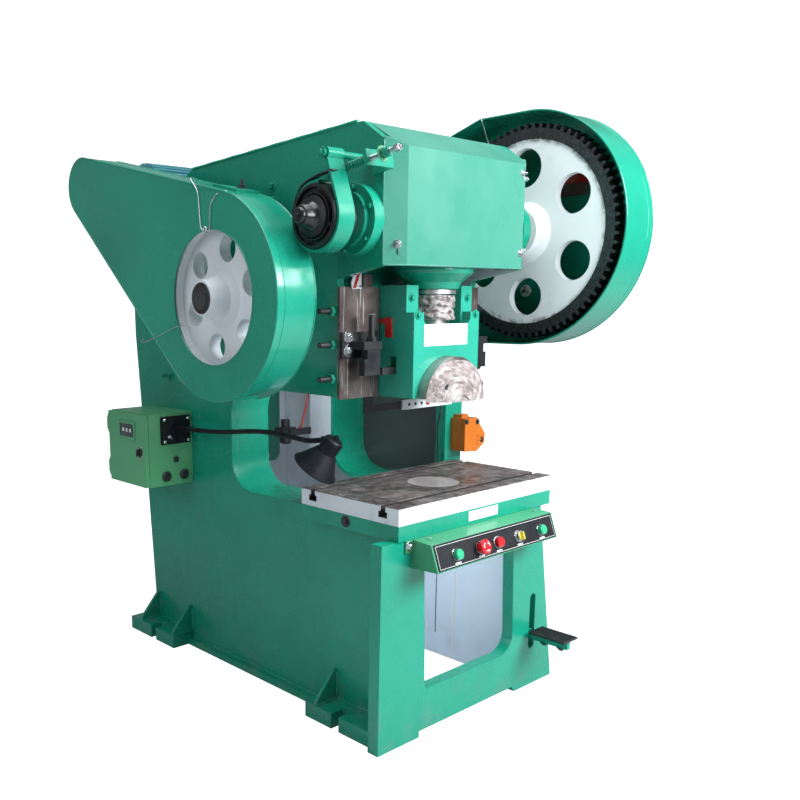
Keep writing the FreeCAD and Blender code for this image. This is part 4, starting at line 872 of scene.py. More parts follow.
class Finishes:
    """Every material of the press, each built once."""

    def __init__(self) -> None:
        """Builds all materials."""
        self.build_paints()
        self.build_zoned_paints()
        self.build_steels()
        self.build_wheels()
        self.build_plastics()
        self.build_films()

    def build_paints(self) -> None:
        """Builds the enamels of one colour."""
        self.green = Enamel("press_green", GREEN, GREEN_SHADE).build()
        # The cover's green is paler and whiter than the plates': partly its own paler paint, partly painted
        # sheen of its glossy front.
        self.cover_green_with_sheen = Enamel("cover_green_with_sheen", (0.062, 0.268, 0.195), (0.05, 0.24, 0.175), roughness=0.3,
                                  waves=0.22).build()
        self.guard_green = Enamel("guard_green", (0.010, 0.31, 0.200), (0.008, 0.255, 0.165), roughness=0.2,
                                  coat=0.5, waves=0.5).build()
        self.slide_green = Enamel("slide_green", (0.030, 0.36, 0.255), (0.022, 0.31, 0.215)).build()
        self.cabinet = Enamel("cabinet_green", (0.11, 0.40, 0.19), (0.09, 0.34, 0.16), roughness=0.42,
                              coat=0.15, waves=0.12).build()
        self.box_green = Enamel("control_box_green", (0.07, 0.32, 0.165), (0.055, 0.26, 0.13),
                                roughness=0.36, waves=0.3).build()
        self.wall = Enamel("liner_grey_white", (0.74, 0.80, 0.92), (0.66, 0.72, 0.84), roughness=0.45,
                           coat=0.1, waves=0.5, dust=0.6).build()
        self.grey = Enamel("shadow_grey", (0.055, 0.065, 0.065), (0.04, 0.046, 0.046), roughness=0.4,
                           coat=0.1, waves=0.3).build()
        self.motor = Enamel("motor_blue_green", (0.05, 0.19, 0.22), (0.035, 0.14, 0.17), roughness=0.36,
                            waves=0.2).build()
        self.orange = Enamel("switch_orange", (0.58, 0.15, 0.010), (0.42, 0.10, 0.008), roughness=0.38,
                             waves=0.2).build()
        self.red_paint = Enamel("pointer_red", (0.62, 0.02, 0.02), (0.45, 0.015, 0.015), roughness=0.3,
                                coat=0.4, waves=0.1).build()

    def build_zoned_paints(self) -> None:
        """Builds the paints that differ between two zones of one part."""
        self.side_plates = LinedEnamel("side_plate_green", GREEN, GREEN_SHADE,
                                       high=(0.3303, 1.4, FAR)).build()
        self.throat = LinedEnamel("throat_green", GREEN, GREEN_SHADE, low=(-FAR, 0.924, -FAR),
                                  high=(0.191, FAR, FAR)).build()
        self.rear = LinedEnamel("rear_panel_green", GREEN, GREEN_SHADE, high=(FAR, 1.4075, FAR)).build()
        self.sign = TwoZones("sign_bar_two", low=(-FAR, 0.4005, -FAR), high=(FAR, FAR, FAR),
                             inside=PLASTIC_BLACK, outside=(0.76, 0.77, 0.80)).build()
        self.pedal = TwoZones("pedal_web_and_tread", low=(-FAR, -FAR, 0.2185), high=(FAR, 0.0, FAR),
                              inside=PLASTIC_BLACK, outside=GREEN, roughness=0.3).build()
        self.gib_screws = TwoZones("gib_screws_and_nuts", low=(0.357, -FAR, -FAR), high=(0.3745, FAR, FAR),
                                   inside=GREEN_SHADE, outside=(0.012, 0.012, 0.013), roughness=0.5).build()

    def build_steels(self) -> None:
        """Builds the bare, greased and blackened steels."""
        self.steel = BareSteel("machined_steel").build()
        self.gib_steel = BareSteel("oiled_gib_steel", (0.20, 0.150, 0.145), (0.075, 0.050, 0.045),
                                   roughness=0.36, tarnished=0.6, metallic=0.7, scratched=0.8).build()
        self.clamp_steel = BareSteel("cast_clamp_steel", (0.52, 0.48, 0.46), (0.24, 0.17, 0.14),
                                     roughness=0.4, marks=ANY_WAY, tarnished=0.65).build()
        self.dark_steel = BareSteel("black_steel", (0.060, 0.060, 0.065), (0.02, 0.02, 0.02), roughness=0.4,
                                    marks=ANY_WAY, tarnished=0.5, metallic=0.5).build()
        self.black_oxide = BareSteel("black_oxide", (0.022, 0.022, 0.024), (0.010, 0.010, 0.010),
                                     roughness=0.42, marks=ANY_WAY, metallic=0.4).build()
        self.zinc = BareSteel("bright_zinc", (0.72, 0.73, 0.75), (0.45, 0.43, 0.40), roughness=0.2,
                              marks=ANY_WAY, tarnished=0.25).build()
        self.pinion = BareSteel("greased_pinion", (0.16, 0.15, 0.15), (0.04, 0.03, 0.03), roughness=0.3,
                                marks=(0.05, 1.0, 1.0), tarnished=0.6).build()
        self.table = WornTable("worn_table").build()

    def build_wheels(self) -> None:
        """Builds the gear's and the flywheel's finish."""
        self.gear = TurnedWheel("open_gear", CRANK_AXIS, rim_from=0.333, web=(0.94, 0.95, 0.97),
                                grease_and_sheen=0.4).build()
        self.flywheel = TurnedWheel("painted_flywheel", SHAFT_AXIS, rim_from=0.262, rim=(0.32, 0.32, 0.33),
                                    rim_rough=0.35, rim_metal=0.8, grease_and_sheen=0.3).build()

    def build_plastics(self) -> None:
        """Builds the rubbers, the black plastics and the small coloured ones."""
        self.rubber = Moulded("black_rubber", (0.018, 0.018, 0.019), roughness=0.62, grain=200.0,
                              depth=0.0005, dust=0.3).build()
        self.black = Moulded("black_plastic", (0.016, 0.016, 0.018), roughness=0.36).build()
        self.lamp = Moulded("lamp_black", (0.006, 0.007, 0.010), roughness=0.42, grain=160.0, depth=0.0004,
                            dust=0.05, shine=0.22).build()
        self.panel = Moulded("panel_black", (0.010, 0.010, 0.012), roughness=0.46, grain=500.0, depth=0.0001,
                             dust=0.06, shine=0.25).build()
        self.gloss_black = Moulded("gloss_black", (0.007, 0.007, 0.008), roughness=0.26, grain=300.0,
                                   depth=0.0001, dust=0.05, coat=0.2).build()
        self.smoke = Moulded("smoke_window", (0.03, 0.035, 0.04), roughness=0.08, grain=800.0,
                             depth=0.00005, dust=0.04, coat=1.0).build()
        self.plate = Moulded("plate_white", (0.84, 0.84, 0.85), roughness=0.35, grain=600.0, depth=0.00005,
                             dust=0.12, coat=0.3).build()
        self.red = self.small_plastic("button_red", (0.62, 0.012, 0.018), 0.22, 0.06, 0.6)
        self.button_green = self.small_plastic("button_green", (0.03, 0.42, 0.20), 0.25, 0.08, 0.6)
        self.key_yellow = self.small_plastic("selector_yellow", (0.62, 0.50, 0.05), 0.3, 0.1, 0.3)
        self.hose = Moulded("hose_red", (0.52, 0.035, 0.02), roughness=0.35, grain=300.0, depth=0.0002,
                            dust=0.1, coat=0.3).build()
        self.lining = Moulded("strip_brown", (0.10, 0.055, 0.035), roughness=0.5, grain=200.0,
                              dust=0.2).build()

    def small_plastic(self, name: str, colour: Colour, roughness: float, dust: float,
                      coat: float) -> Material:
        """Builds the smooth coloured plastic of a button or a key."""
        return Moulded(name, colour, roughness, grain=500.0, depth=0.0001, dust=dust, coat=coat).build()

    def build_films(self) -> None:
        """Builds the neck's and the clamp's film."""
        # each film's dark is painted shade in its folds, its pale a painted highlight on its creases
        self.film = Film("clear_film", opacity=0.8, dark=(0.13, 0.09, 0.085), pale=(0.50, 0.44, 0.43),
                         grain=60.0).build()
        self.clamp_wrap = Film("clamp_film", opacity=0.96, dark=(0.27, 0.205, 0.195),
                               pale=(0.43, 0.36, 0.35), grain=42.0).build()


# ---- sub-assemblies
@dataclass
class CadFinishes:
    """Dresses the CAD nodes that keep their own shape."""

    finishes: Finishes

    def plan(self) -> dict[str, Material]:
        """Returns the finish of each CAD node."""
        f = self.finishes
        groups = (
            (f.side_plates, ("right_side_plate", "left_side_plate")),
            (f.throat, ("throat_liners",)),
            (f.rear, ("rear_panel",)),
            (f.green, ("base_front_plate", "foot_flanges", "frame_top_plate", "guide_wall", "table_shelf",
                       "crank_housings", "countershaft_bearings", "guard_supports", "throat_side_post",
                       "pedal_pivot", "brake_band", "brake_anchors", "connecting_rod", "brake_spring",
                       "brake_rod")),
            (f.slide_green, ("slide_block",)),
            (f.guard_green, ("flywheel_guard", "gear_guard")),
            (f.cover_green_with_sheen, ("front_cover",)),
            (f.cabinet, ("cabinet_box", "cabinet_door")),
            (f.box_green, ("control_box",)),
            (f.wall, ("base_liner",)),
            (f.grey, ("throat_side_guard",)),
            (f.motor, ("motor",)),
            (f.table, ("table_plate",)),
            (f.steel, ("ball_screw", "crankshaft")),
            (f.gib_steel, ("gib_plates",)),
            (f.clamp_steel, ("shank_clamp",)),
            (f.pinion, ("countershaft",)),
            (f.gib_screws, ("adjusting_screws",)),
            (f.dark_steel, ("knockout_bar", "shank_clamp_bolts", "motor_pulley")),
            (f.black_oxide, ("stop_brackets", "brake_drum")),
            (f.gear, ("big_gear",)),
            (f.flywheel, ("flywheel",)),
            (f.rubber, ("drive_belts",)),
            (f.pedal, ("foot_pedal",)),
            (f.key_yellow, ("mode_selector",)),
            (f.black, ("air_filter", "hose_fitting", "cabinet_lock", "foot_switch_treadle")),
            (f.lamp, ("lamp_head", "lamp_arm")),
            (f.panel, ("control_panel",)),
            (f.red, ("emergency_stop_button", "stop_button")),
            (f.button_green, ("left_start_button", "right_start_button")),
            (f.orange, ("foot_switch",)),
            (f.sign, ("sign_bar",)),
        )
        return {node: finish for finish, nodes in groups for node in nodes}

    def dress(self) -> None:
        """Gives each CAD node its finish."""
        for node, finish in self.plan().items():
            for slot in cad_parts[node].material_slots:
                slot.link = "OBJECT"
                slot.material = finish
            LOG.info("%s: %s", node, finish.name)


@dataclass
class WeldedFrame:
    """Weld seams and small fittings of the frame."""

    finishes: Finishes
    bead: float = 0.006
    bead_step: float = 0.007
    front_seam_y: float = 0.046
    foot_z: float = 0.027
    flange_z: float = 0.056
    shelf_z: float = 0.695
    rib_y: tuple[float, ...] = (0.325, 1.216, 1.460)
    rib_half: float = 0.008
    liner_z: Pair = (0.04, 0.56)
    blank_plate: Extent = (-0.068, 0.092, 0.7065, 0.7405)
    table_screw: Pair = (0.30, 0.12)

    def seam(self, form: Form, start: Point, end: Point) -> None:
        """Adds one rippled weld bead between two points."""
        a, b = np.array(start), np.array(end)
        count = max(6, int(np.linalg.norm(b - a) / self.bead_step))
        t = np.linspace(0.0, 1.0, count)
        ripple = self.bead * (1.0 + 0.12 * np.sin(t * count * 2.4) + 0.08 * np.sin(t * count * 0.37))
        form.tube(a + (b - a) * t[:, None], ripple, 8)

    def side_runs(self, side: float) -> list[tuple[Point, Point]]:
        """The ends of each bead on one side plate, from its front edge round the foot flanges to its top."""
        x, top_x = side * SIDE_FACE, side * SIDE_FACE * 0.992
        front, foot, low = self.front_seam_y, self.foot_z, self.flange_z
        runs = [((x, front, 0.06), (x, front, self.shelf_z - 0.01)), ((x, 0.39, foot), (x, 1.19, foot))]
        for rib in self.rib_y:
            for y in (rib - self.rib_half, rib + self.rib_half):
                runs.append(((x, y, 0.06), (x, y, 0.158)))
                runs.append(((x + side * 0.012, y, low), (x + side * 0.094, y, low)))
        runs.append(((x, 0.06, low), (x, 0.36, low)))
        runs.append(((x, 1.22, low), (x, 1.47, low)))
        runs.append(((top_x, 0.24, 1.967), (top_x, 1.12, 1.9195)))
        return runs

    def build(self) -> None:
        """Builds the weld seams, the shelf's fittings, the side studs and the liner's lines."""
        form = Form()
        for side in SIDES:
            for start, end in self.side_runs(side):
                self.seam(form, start, end)
        form.object("frame_weld_seams", self.finishes.green, "green_paint")
        self.table_edge()
        self.side_bolts()
        self.liner_lines()

    def liner_lines(self) -> None:
        """Builds the bead painted white as a highlight line and the dark joint on the right wall of the
        sheet behind the portal.
        """
        low, high = self.liner_z
        # a painted highlight: the white bead down the wall stands for the bright line along it
        bead = Form().tube([(0.2785, 0.320, low), (0.2785, 0.320, high)], 0.0045, 8)
        bead.object("liner_highlight_bead", self.finishes.plate, "liner_paint")
        joint = Form().block((0.2775, 0.4085, 0.11), (0.2792, 0.4115, high))
        joint.object("liner_joint", self.finishes.black, "black_plastic")

    def table_edge(self) -> None:
        """Builds the blank plate and the bolt on the shelf's edges, and the table's screws."""
        x0, x1, z0, z1 = self.blank_plate
        plate = Form().slab([(z0, x0), (z0, x1), (z1, x1), (z1, x0)], Axis.Y, -0.0085, -0.006)
        plate.object("shelf_blank_plate", self.finishes.plate, "white_paint", bevel=0.0006)
        bolts = Form()
        bolts.bolt((-0.410, 0.227, 0.722), TO_LEFT, 0.020, 0.010)
        screw_x, screw_y = self.table_screw
        for side in SIDES:
            bolts.socket_screw((side * screw_x, screw_y, TABLE_TOP - 0.006), UP, 0.011, 0.0058)
        bolts.object("table_bolts", self.finishes.dark_steel, "dark_steel")

    def side_bolts(self) -> None:
        """Builds the studs that stand out of the side plates."""
        studs = Form()
        for side in SIDES:
            studs.bolt((side * SIDE_FACE, 1.320, 1.131), (side, 0, 0), 0.024, 0.012, 0.03)
            studs.bolt((side * SIDE_FACE, 0.649, 1.816), (side, 0, 0), 0.019, 0.010)
        studs.object("side_studs", self.finishes.green, "green_paint")


@dataclass
class HeadCover:
    """Screws, hem and slot hook of the front cover."""

    finishes: Finishes
    front: float = 0.082
    bend: float = 0.296
    hem: float = 0.0035
    hem_z: float = 1.538
    edge_x: float = 0.3575
    flank: Pair = (0.322, 0.1002)
    screw: Pair = (0.013, 0.008)

    def screws(self) -> None:
        """Builds the screws on the cover's front and on its slanted flanks."""
        form = Form()
        for x, z in ((0.284, 1.854), (0.287, 1.590)):
            form.bolt((x, self.front, z), TO_FRONT, *self.screw, 0.009)
        x, y = self.flank
        for side, z, stub in ((-1.0, 1.600, 0.009), (1.0, 1.600, 0.004), (1.0, 1.840, 0.004)):
            way = tuple(Vector((side * 0.043, -0.062, 0.0)).normalized())
            form.bolt((side * x, y, z), way, *self.screw, stub)
        form.object("cover_screws", self.finishes.zinc, "bare_steel")

    def rolled_hem(self) -> None:
        """Builds the rolled lower hem and the thin upright edges."""
        z = self.hem_z
        path = [(-SIDE_FACE, 0.1245, z), (-self.bend, 0.0825, z), (self.bend, 0.0825, z),
                (SIDE_FACE, 0.1245, z)]
        form = Form().tube(path, self.hem, 8)
        for side in SIDES:
            x = side * self.edge_x
            form.tube([(x, 0.1255, 1.54), (x, 0.1255, 1.90)], 0.002, 6)
        form.object("cover_hem", self.finishes.cover_green_with_sheen, "light_green_paint")

    def build(self) -> None:
        """Builds everything on the cover."""
        self.screws()
        self.rolled_hem()
        hook = Form().tube(smooth_path([(-0.3205, 0.0985, 1.586), (-0.3215, 0.0978, 1.576),
                                        (-0.318, 0.1, 1.566), (-0.314, 0.1025, 1.572)]), 0.0018, 6)
        hook.object("cover_slot_hook", self.finishes.dark_steel, "dark_steel")


@dataclass
class BrakeDetails:
    """What shows round the brake: bearing bolts, drum face, rod thread, pin end and the loose strip."""

    finishes: Finishes
    flange_r: float = 0.095
    flange_x: float = 0.400
    bearing_r: float = 0.062
    bearing_x: float = 0.398
    drum_face: float = -0.548
    drum_screw_x: float = -0.550
    drum_screw_r: float = 0.077
    cone_x: float = -0.5565
    cone_end: float = -0.612
    strip_x: float = -0.534
    strip_half: float = 0.011
    strip_thick: float = 0.004
    rod: tuple[float, float, float] = (-0.452, 1.811, 0.0065)
    rod_tilt: float = 9.07
    thread_turns: int = 26
    pin: Point = (-0.556, 0.185, 1.852)
    split_x: float = -0.549

    def tilt(self) -> Matrix:
        """The turn that raises the front end of the brake rod."""
        middle = Matrix.Translation((self.rod[0], CRANK_AXIS[0], self.rod[1]))
        return middle @ Matrix.Rotation(math.radians(-self.rod_tilt), 4, "X") @ middle.inverted()

    def flange_bolts(self) -> None:
        """Builds the bolts of both crankshaft housings and countershaft bearings."""
        form = Form()
        for side in SIDES:
            for y, z in places_round(CRANK_AXIS, self.flange_r, 6, 100):
                form.bolt((side * self.flange_x, y, z), (side, 0, 0), 0.0125, 0.008)
            for y, z in places_round(SHAFT_AXIS, self.bearing_r, 4, 45):
                form.socket_screw((side * self.bearing_x, y, z), (side, 0, 0), 0.009, 0.009)
        form.object("bearing_bolts", self.finishes.green, "green_paint")

    def drum(self) -> None:
        """Builds the rings, screws and cone on the drum's face."""
        y, z = CRANK_AXIS
        form = Form()
        form.ring((self.drum_face, y, z), TO_LEFT, 0.0935, 0.084, -0.002, 0.004, 64)
        form.ring((self.drum_face, y, z), TO_LEFT, 0.070, 0.066, -0.010, 0.0035, 64)
        for screw_y, screw_z in places_round(CRANK_AXIS, self.drum_screw_r, 4, 20):
            form.socket_screw((self.drum_screw_x, screw_y, screw_z), TO_LEFT, 0.005, 0.004)
        form.object("drum_face_rings", self.finishes.gloss_black, "dark_steel", "crank")
        cone = Form().turned([(0.0, -0.002), (0.049, -0.002), (0.048, 0.002), (0.041, 0.008), (0.035, 0.026),
                              (0.031, 0.042), (0.029, 0.046), (0.024, 0.047), (0.023, 0.053), (0.020, 0.056),
                              (0, 0.056)], (self.cone_x, y, z), TO_LEFT, 56)
        cone.bolt((self.cone_end, y, z), TO_LEFT, 0.015, 0.006, washer=False)
        cone.object("drum_cone", self.finishes.gloss_black, "dark_steel", "crank")

    def strip(self) -> None:
        """Builds the curved black lining end that stands off behind the band."""
        corners = [(0.330, 1.690), (0.319, 1.722), (0.288, 1.766), (0.226, 1.789), (0.180, 1.797),
                   (0.152, 1.800)]
        line = smooth_path(on_plane(self.strip_x, corners))
        ahead = np.gradient(line, axis=0)
        ahead /= np.linalg.norm(ahead, axis=1)[:, None]
        out = np.cross(ahead, np.array([1.0, 0.0, 0.0])) * self.strip_thick
        half = np.array([self.strip_half, 0.0, 0.0])
        grid = np.stack([line - half, line + half, line + half + out, line - half + out], 1)
        form = Form().sheet(grid, round_v=True, capped=True)
        form.object("brake_strip", self.finishes.rubber, "black_rubber", bevel=0.0006)

    def rod_parts(self) -> None:
        """Builds the rod's thread with its bright end and its nut."""
        x, z, r = self.rod
        t = np.linspace(0.0, 1.0, 420)
        angle = t * 2 * math.pi * self.thread_turns
        spiral = np.stack([x + r * np.cos(angle), -0.010 + 0.100 * t, z + r * np.sin(angle)], -1)
        thread = Form().tube(spiral, 0.0011, 5)
        thread.turned([(0, -0.006), (0.009, -0.006), (0.0105, 0.0), (0.0105, 0.014), (0.009, 0.018),
                       (0, 0.018)], (x, -0.012, z), TO_FRONT, 20)
        thread.moved(self.tilt()).object("brake_rod_thread", self.finishes.zinc, "dark_steel")
        nut = Form().bolt((x, 0.0405, z), TO_FRONT, 0.023, 0.011).moved(self.tilt())
        nut.object("brake_rod_nut", self.finishes.box_green, "bare_steel")

    def pin_end(self) -> None:
        """Builds the nut on the brake pin with its split pin."""
        form = Form().bolt(self.pin, TO_LEFT, 0.016, 0.007)
        split = on_plane(self.split_x, [(0.174, 1.864), (0.185, 1.852), (0.196, 1.840)])
        form.tube(split, 0.0016, 6)
        form.object("brake_pin_end", self.finishes.green, "green_paint")

    def build(self) -> None:
        """Builds every detail of the brake."""
        self.flange_bolts()
        self.drum()
        self.strip()
        self.rod_parts()
        self.pin_end()


@dataclass
class BeltGuard:
    """Seams, wires and fittings of the flywheel guard."""

    finishes: Finishes
    inset: float = 0.0005
    window_r: float = 0.218
    window_seam_r: float = 0.0030
    wire_r: float = 0.0016
    wire_out: float = 0.003
    bracket_bolt: Point = (-0.530, 0.5974, 1.7901)
    bracket_way: Point = (0, -0.219, 0.9757)

    def build(self) -> None:
        """Builds the guard's seams, rolled window edge, wires and bracket bolt."""
        outline = belt_outline(BELT_GUARD_R - self.inset, BELT_GUARD_END_R - self.inset)
        face = BELT_GUARD_FACE
        seams = guard_seams(outline, face + 0.001, BELT_GUARD_BACK - 0.003, face + 0.030)
        ring = places_round(SHAFT_AXIS, self.window_r - self.inset, 96, 0.0)
        seams.tube(on_plane(face + 0.0005, ring), self.window_seam_r, 8, closed=True)
        seams.object("belt_guard_seams", self.finishes.guard_green, "green_paint")
        self.wires()
        bolt = Form().bolt(self.bracket_bolt, self.bracket_way, 0.019, 0.012, 0.017)
        bolt.object("guard_bracket_bolt", self.finishes.dark_steel, "dark_steel")

    def wires(self) -> None:
        """Builds the two tie wires of the guard."""
        x = BELT_GUARD_FACE - self.wire_out
        over = [(x + 0.030, 0.705, 1.822), (x, 0.692, 1.818), (x - 0.001, 0.655, 1.775),
                (x - 0.002, 0.645, 1.715), (x - 0.002, 0.638, 1.662), (x - 0.001, 0.617, 1.648),
                (x - 0.002, 0.595, 1.650), (x - 0.003, 0.587, 1.690), (x - 0.002, 0.584, 1.728),
                (x, 0.566, 1.750), (x - 0.001, 0.548, 1.759), (x + 0.030, 0.540, 1.770)]
        knot = [(x - 0.002, 0.626, 1.661), (x - 0.006, 0.617, 1.652), (x - 0.003, 0.606, 1.657),
                (x - 0.006, 0.613, 1.664)]
        low = [(x + 0.012, 0.722, 1.353), (x - 0.002, 0.748, 1.351), (x - 0.003, 0.794, 1.345),
               (x - 0.003, 0.860, 1.327), (x - 0.003, 0.909, 1.311), (x - 0.003, 0.965, 1.296),
               (x - 0.003, 1.012, 1.284), (x - 0.002, 1.024, 1.288), (x - 0.003, 1.019, 1.295),
               (x - 0.003, 1.011, 1.290)]
        form = Form()
        for corners in (over, knot, low):
            form.tube(smooth_path(corners), self.wire_r, 8)
        form.object("belt_guard_wires", self.finishes.zinc, "bare_steel")


@dataclass
class GearGuard:
    """Seams of the gear guard, its wire, and the strips and the disc that show through the gear's holes."""

    finishes: Finishes
    inset: float = 0.0008
    wire_r: float = 0.0017
    inner_wall: float = 0.004
    strip_y: Pair = (0.068, 0.213)
    strip_z: tuple[float, float, float] = (1.812, 1.858, 1.897)
    disc: Pair = (0.303, 1.466)
    disc_out: float = 0.034
    disc_hole_r: float = 0.0145

    def build(self) -> None:
        """Builds the guard's details."""
        x0, x1 = GEAR_GUARD_X
        outline = gear_guard_outline(GEAR_GUARD_R - self.inset)
        seams = guard_seams(outline, x0 + 0.002, x1 - 0.002, x1 - 0.032)
        seams.object("gear_guard_seams", self.finishes.guard_green, "green_paint")
        path = [(x0 + 0.02, 0.436, 2.1085), (x0 - 0.004, 0.430, 2.104), (x0 - 0.003, 0.416, 2.068),
                (x0 - 0.003, 0.404, 2.036), (x0 - 0.001, 0.388, 2.001)]
        wire = Form().tube(smooth_path(path), self.wire_r, 8)
        wire.object("gear_guard_wire", self.finishes.zinc, "bare_steel")
        self.strips(x1 - self.inner_wall)
        self.grease_disc(x1 - self.inner_wall)

    def strips(self, x: float) -> None:
        """Builds the red and the brown strip on the guard's inner wall at x."""
        front, back = self.strip_y
        low, middle, high = self.strip_z
        red = Form().block((x - 0.003, front, middle), (x + 0.0005, back, high))
        red.object("guard_red_strip", self.finishes.red_paint, "red_plastic", bevel=0.0006)
        brown = Form().block((x - 0.003, front, low), (x + 0.0005, back, middle))
        brown.object("guard_brown_strip", self.finishes.lining, "black_plastic", bevel=0.0006)

    def grease_disc(self, x: float) -> None:
        """Builds the disc that stands off the guard's inner wall at x, with its nut and three holes."""
        y, z = self.disc
        out = self.disc_out
        disc = Form().turned([(0, -out), (0.020, -out), (0.024, -0.030), (0.024, -0.026), (0.008, -0.024),
                              (0.008, 0.001), (0, 0.001)], (x, y, z), TO_RIGHT, 36)
        disc.object("guard_grease_disc", self.finishes.plate, "white_paint")
        nut = Form().bolt((x - out, y, z), TO_LEFT, 0.012, 0.008, 0.004, washer=False)
        for hole_y, hole_z in places_round(self.disc, self.disc_hole_r, 3, 90):
            nut.turned([(0, -0.001), (0.0035, -0.001), (0.0035, 0.0006), (0, 0.0006)],
                       (x - out, hole_y, hole_z), TO_LEFT, 12)
        nut.object("guard_grease_nut", self.finishes.black, "black_plastic")


@dataclass
class DriveWheels:
    """Nuts and end plates of the shafts, and the motor's foot bolts."""

    finishes: Finishes
    hub_face: float = -0.699
    hub_screw_x: float = -0.7035
    hub_screw_r: float = 0.0405
    pinion_end: float = 0.604
    crank_end: float = 0.594
    crank_bolt_x: float = 0.606
    crank_bolt_r: float = 0.036
    motor_feet: Pair = (-0.345, -0.171)
    motor_foot_half: float = 0.082
    motor_foot_z: float = 1.712

    def countershaft_nuts(self) -> None:
        """Builds the flywheel's hub nut and the nut behind the pinion."""
        y, z = SHAFT_AXIS
        profile = [(0, -0.002), (0.048, -0.002), (0.050, -0.001), (0.050, 0.003), (0.047, 0.0045),
                   (0.036, 0.005), (0.034, 0.0075), (0, 0.0075)]
        nut = Form().turned(profile, (self.hub_face, y, z), TO_LEFT, 48)
        for screw_y, screw_z in places_round(SHAFT_AXIS, self.hub_screw_r, 3, 35):
            nut.socket_screw((self.hub_screw_x, screw_y, screw_z), TO_LEFT, 0.0045, 0.003)
        nut.object("flywheel_hub_nut", self.finishes.black, "black_plastic", "countershaft", bevel=0.0008)
        tail = Form().bolt((self.pinion_end, y, z), TO_RIGHT, 0.044, 0.016)
        tail.object("pinion_end_nut", self.finishes.dark_steel, "dark_steel", "countershaft")

    def crank_plate(self) -> None:
        """Builds the plate that holds the gear on the crankshaft, with its three bolts."""
        plate = Form().turned([(0, 0.0), (0.062, 0.0), (0.064, 0.002), (0.064, 0.010), (0.060, 0.012),
                               (0, 0.012)], (self.crank_end, *CRANK_AXIS), TO_RIGHT)
        for y, z in places_round(CRANK_AXIS, self.crank_bolt_r, 3, 90):
            plate.bolt((self.crank_bolt_x, y, z), TO_RIGHT, 0.017, 0.009)
        plate.object("crank_end_plate", self.finishes.dark_steel, "dark_steel", "crank")

    def motor_bolts(self) -> None:
        """Builds the four bolts through the motor's feet."""
        form = Form()
        for side in SIDES:
            for x in self.motor_feet:
                form.bolt((x, MOTOR_AXIS[0] + side * self.motor_foot_half, self.motor_foot_z), UP, 0.019,
                          0.010, 0.008)
        form.object("motor_foot_bolts", self.finishes.zinc, "bare_steel")

    def build(self) -> None:
        """Builds everything on the shafts and on the motor's feet."""
        self.countershaft_nuts()
        self.crank_plate()
        self.motor_bolts()


